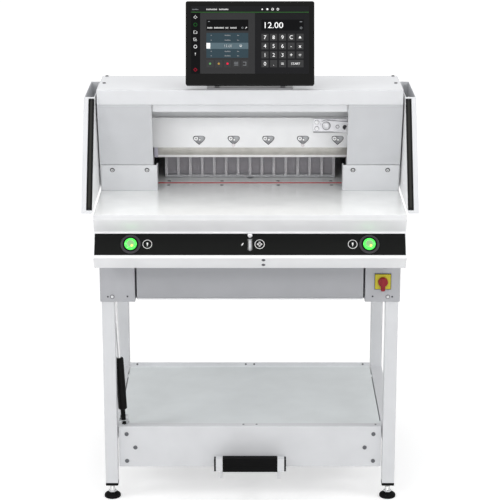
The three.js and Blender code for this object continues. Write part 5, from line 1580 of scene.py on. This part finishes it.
    def build(self) -> None:
        """Makes the terminal's pieces."""
        eased_node("screen_housing", BLACK_PLASTIC, 1.6, 3)
        eased_node("screen_glass", GLASS_FRONT, 0.9, 3)
        eased_node("screen_base", BASE_GREY)
        up = Vector((0.0, math.sin(math.radians(self.tilt)), math.cos(math.radians(self.tilt))))
        self.place = facing(self.front, RIGHT.cross(up), up)
        self.shapes = {tone: Shape() for tone in Tone}
        for area in self.areas:
            self._area(*area)
        for word in self.words:
            self._word(*word)
        for ring in self.rings:
            self._ring(*ring)
        for label in self.labels:
            self._text(*label)
        self._folders()
        self._list()
        self._keys()
        for tone, shape in self.shapes.items():
            shape.piece(f"display_{tone.name.lower()}", tone.finish(), body="screen")

    def _at(self, column: float, row: float) -> Pair:
        """Turns a place on the display's grid into lengths on the glass."""
        return (column - self.middle) * self.cell, (self.foot - row) * self.cell

    def _area(self, tone: Tone, columns: Pair, rows: Pair, layer: int) -> None:
        """Lays a lit field on the glass.

        Args:
            tone: Its colour.
            columns: Left and right grid column.
            rows: Upper and lower grid row.
            layer: How many fields lie under it, itself included.
        """
        x0, y0 = self._at(columns[0], rows[1])
        x1, y1 = self._at(columns[1], rows[0])
        top = layer * self.layer_step
        self.shapes[tone].box((x0, y0, top - self.layer_thick), (x1, y1, top), self.place)

    def _word(self, tone: Tone, columns: Pair, rows: Pair, layer: int) -> None:
        """Lays a row of small marks that reads as a blurred word.

        Args:
            tone: Its colour.
            columns: Left and right grid column.
            rows: Upper and lower grid row.
            layer: How many fields lie under it, itself included.
        """
        count = max(1, round((columns[1] - columns[0]) / self.mark_pitch))
        step = (columns[1] - columns[0]) / count
        for index in range(count):
            start = columns[0] + index * step
            drop = self.mark_drop if index % 3 == 1 else 0.0
            self._area(tone, (start, start + step * self.mark_share), (rows[0] + drop, rows[1]), layer)

    def _ring(self, tone: Tone, column: float, row: float, size: float, sides: int, hollow: float) -> None:
        """Draws a ring, or a disc where the hollow is 0.

        Args:
            tone: Its colour.
            column: Grid column of its middle.
            row: Grid row of its middle.
            size: Its width in grid cells.
            sides: How many sides it has.
            hollow: Share of its width that is open.
        """
        r = size / 2 * self.cell
        turn = Matrix.Rotation(math.pi / 2 if sides == 3 else 0.0, 4, "Z")
        spot = moved(self.place, *self._at(column, row)) @ turn
        self.shapes[tone].turned(band(r * hollow, r, *self.ring_z), spot, sides, closed=hollow > 0)

    def _text(self, label: str, column: float, row: float, high: float, wide: float) -> None:
        """Writes a white label round a place on the grid.

        Args:
            label: What it says.
            column: Grid column of its middle.
            row: Grid row of its middle.
            high: Height of its capitals in grid cells.
            wide: How much it is stretched.
        """
        spot = moved(self.place, *self._at(column, row), self.text_lift)
        spot = spot @ Matrix.Diagonal((wide, 1.0, 1.0, 1.0))
        self.shapes[Tone.WHITE].text(label, high * self.cell, spot)

    def _folders(self) -> None:
        """Draws the two open squares of the left column."""
        for row in self.folder_rows:
            for tone, columns, (upper, lower) in self.folder_bars:
                self._area(tone, columns, (row + upper, row + lower), 3)

    def _list(self) -> None:
        """Draws the faint rows of the list and the marks of the last two small keys."""
        for row in self.list_rows:
            for left, right, half in self.list_words:
                self._word(Tone.FAINT, (left, right), (row - half, row + half), 4)
            left, right, half = self.list_dot
            self._area(Tone.FAINT, (left, right), (row - half, row + half), 4)
        row = sum(self.rows[3]) / 2
        lines, hook = (sum(columns) / 2 for columns in self.small_keys[3:])
        wide, thin = self.line_half
        for step in self.line_steps:
            self._area(Tone.FAINT, (lines - wide, lines + wide), (row + step - thin, row + step + thin), 4)
        for (left, right), (upper, lower) in self.hook_bars:
            self._area(Tone.FAINT, (hook + left, hook + right), (row + upper, row + lower), 4)

    def _keys(self) -> None:
        """Draws the small keys and the keypad."""
        for columns in self.small_keys:
            self._area(Tone.KEY, columns, self.rows[3], 3)
        for rows, labels, count in zip(self.rows, self.keys, self.key_counts):
            for columns, label in zip(self.columns, labels.ljust(count)):
                self._area(Tone.KEY, columns, rows, 3)
                if label != " ":
                    self._text(label, sum(columns) / 2, sum(rows) / 2, self.key_capital, 1.0)
        self._area(Tone.KEY, (self.columns[3][0], self.columns[4][1]), self.rows[3], 3)


@dataclass
class Studio:
    """Floor, backdrop, lamps and camera, in metres."""

    camera_place: Place = (0.0, -5.6025, 2.272)
    camera_turn: float = 74.2
    lens: float = 133.2
    sensor: float = 36.0
    floor_half: float = 30.0
    sky: float = 0.42
    backdrop: float = 1.0
    floor_tone: float = 0.75
    floor_roughness: float = 0.95
    floor_lift: Pair = (0.45, 0.72)
    lift_reach: Pair = (1.5, 7.0)
    aim: Place = (0.0, -0.2, 0.8)
    lamps: tuple[tuple[str, Point, Pair, float], ...] = (
        ("low", (0.0, -6.2, 1.6), (2.4, 0.8), 60.0),
        ("front left", (-2.4, -4.7, 3.1), (1.6, 1.0), 38.0),
        ("front right", (2.4, -4.7, 3.1), (1.6, 1.0), 32.0),
        ("side left", (-3.6, -1.6, 3.8), (2.0, 2.0), 50.0),
        ("side right", (3.6, -1.6, 3.8), (2.0, 2.0), 44.0),
        ("top", (0.0, 0.2, 4.8), (3.0, 3.0), 64.0),
    )

    def build(self) -> None:
        """Makes the studio."""
        scene = bpy.context.scene
        scene.view_settings.view_transform = "Standard"
        world = bpy.data.worlds.new("studio")
        world.use_nodes = True
        scene.world = world
        tree = world.node_tree
        seen = seen_or_mirrored(tree)
        level = add_node(tree, "MapRange", Value=seen, To_Min=self.sky, To_Max=self.backdrop)
        fill(tree, tree.nodes["Background"], Color=(1.0, 1.0, 1.0, 1.0), Strength=level.outputs["Result"])
        self._floor()
        for name, place, size, power in self.lamps:
            light = bpy.data.lights.new(name, "AREA")
            light.shape = "RECTANGLE"
            light.size, light.size_y = size
            light.energy = power
            lamp = bpy.data.objects.new(name, light)
            lamp.location = place
            lamp.rotation_euler = (Vector(self.aim) - Vector(place)).to_track_quat("-Z", "Y").to_euler()
            scene.collection.objects.link(lamp)
        camera = bpy.data.objects.new("camera", bpy.data.cameras.new("camera"))
        camera.data.lens = self.lens
        camera.data.sensor_width = self.sensor
        camera.location = self.camera_place
        camera.rotation_euler = (math.radians(self.camera_turn), 0.0, 0.0)
        scene.collection.objects.link(camera)
        scene.camera = camera

    def _floor(self) -> None:
        """Lays a white floor that keeps the machine's shadow."""
        bm = bmesh.new()
        bmesh.ops.create_grid(bm, x_segments=1, y_segments=1, size=self.floor_half)
        mesh = bpy.data.meshes.new("floor")
        bm.to_mesh(mesh)
        bm.free()
        floor = bpy.data.objects.new("floor", mesh)
        bpy.context.scene.collection.objects.link(floor)
        material = bpy.data.materials.new("white floor")
        material.use_nodes = True
        tree = material.node_tree
        spot = add_node(tree, "TexCoord").outputs["Object"]
        reach = add_node(tree, "VectorMath", spot, operation="LENGTH").outputs["Value"]
        (near, far), (low, high) = self.lift_reach, self.floor_lift
        lift = add_node(tree, "MapRange", Value=reach, From_Min=near, From_Max=far, To_Min=low, To_Max=high)
        glow = add_node(tree, "Math", seen_or_mirrored(tree), lift.outputs["Result"], operation="MULTIPLY")
        fill(tree, tree.nodes["Principled BSDF"], Base_Color=(*[self.floor_tone] * 3, 1.0),
             Roughness=self.floor_roughness, Emission_Color=(1.0, 1.0, 1.0, 1.0),
             Emission_Strength=glow.outputs["Value"])
        mesh.materials.append(material)


def seen_or_mirrored(tree: Tree) -> Socket:
    """Adds a switch that is 1 for what is seen directly, in a mirror or through glass.

    Args:
        tree: Node tree to add to.

    Returns:
        The switch's socket.
    """
    rays = add_node(tree, "LightPath").outputs
    found = rays["Is Camera Ray"]
    for name in ("Is Glossy Ray", "Is Transmission Ray"):
        found = add_node(tree, "Math", found, rays[name], operation="MAXIMUM").outputs["Value"]
    return found


def dress(node: str, finish: Finish) -> None:
    """Gives a node its finish.

    Args:
        node: Node name.
        finish: The finish.
    """
    materials = frame["nodes"][node].data.materials
    materials.clear()
    materials.append(finish.material())


def dress_all() -> None:
    """Gives every node the finish of its slot, for pieces that no finer one replaces."""
    plain = (WHITE_PAINT, SHADE_PAINT, CAST_PAINT, STEEL, BLADE_STEEL, RIB_METAL, BLACK_PLASTIC, BLACK_PANEL,
             GLASS_FRONT, BLACK_RUBBER, RED_STICK, GREEN_LENS, YELLOW_PLATE, RED_KNOB)
    by_slot = {finish.slot: finish for finish in plain}
    for entry in frame["record"]["subparts"]:
        dress(entry["node"], by_slot[entry["material_slot"]])


def main() -> None:
    """Builds every sub-assembly in order."""
    logging.basicConfig(level=logging.INFO, format="%(name)s: %(message)s")
    dress_all()
    for assembly in (Stand, Shelf, Pedal, Strut, BedAndTable, Console, Housing, Portal, Knife, Clamp,
                     Backgauge, Covers, LightGuards, Terminal, Studio):
        log.info("building %s", assembly.__name__)
        assembly().build()


if __name__ == "__main__":
    main()
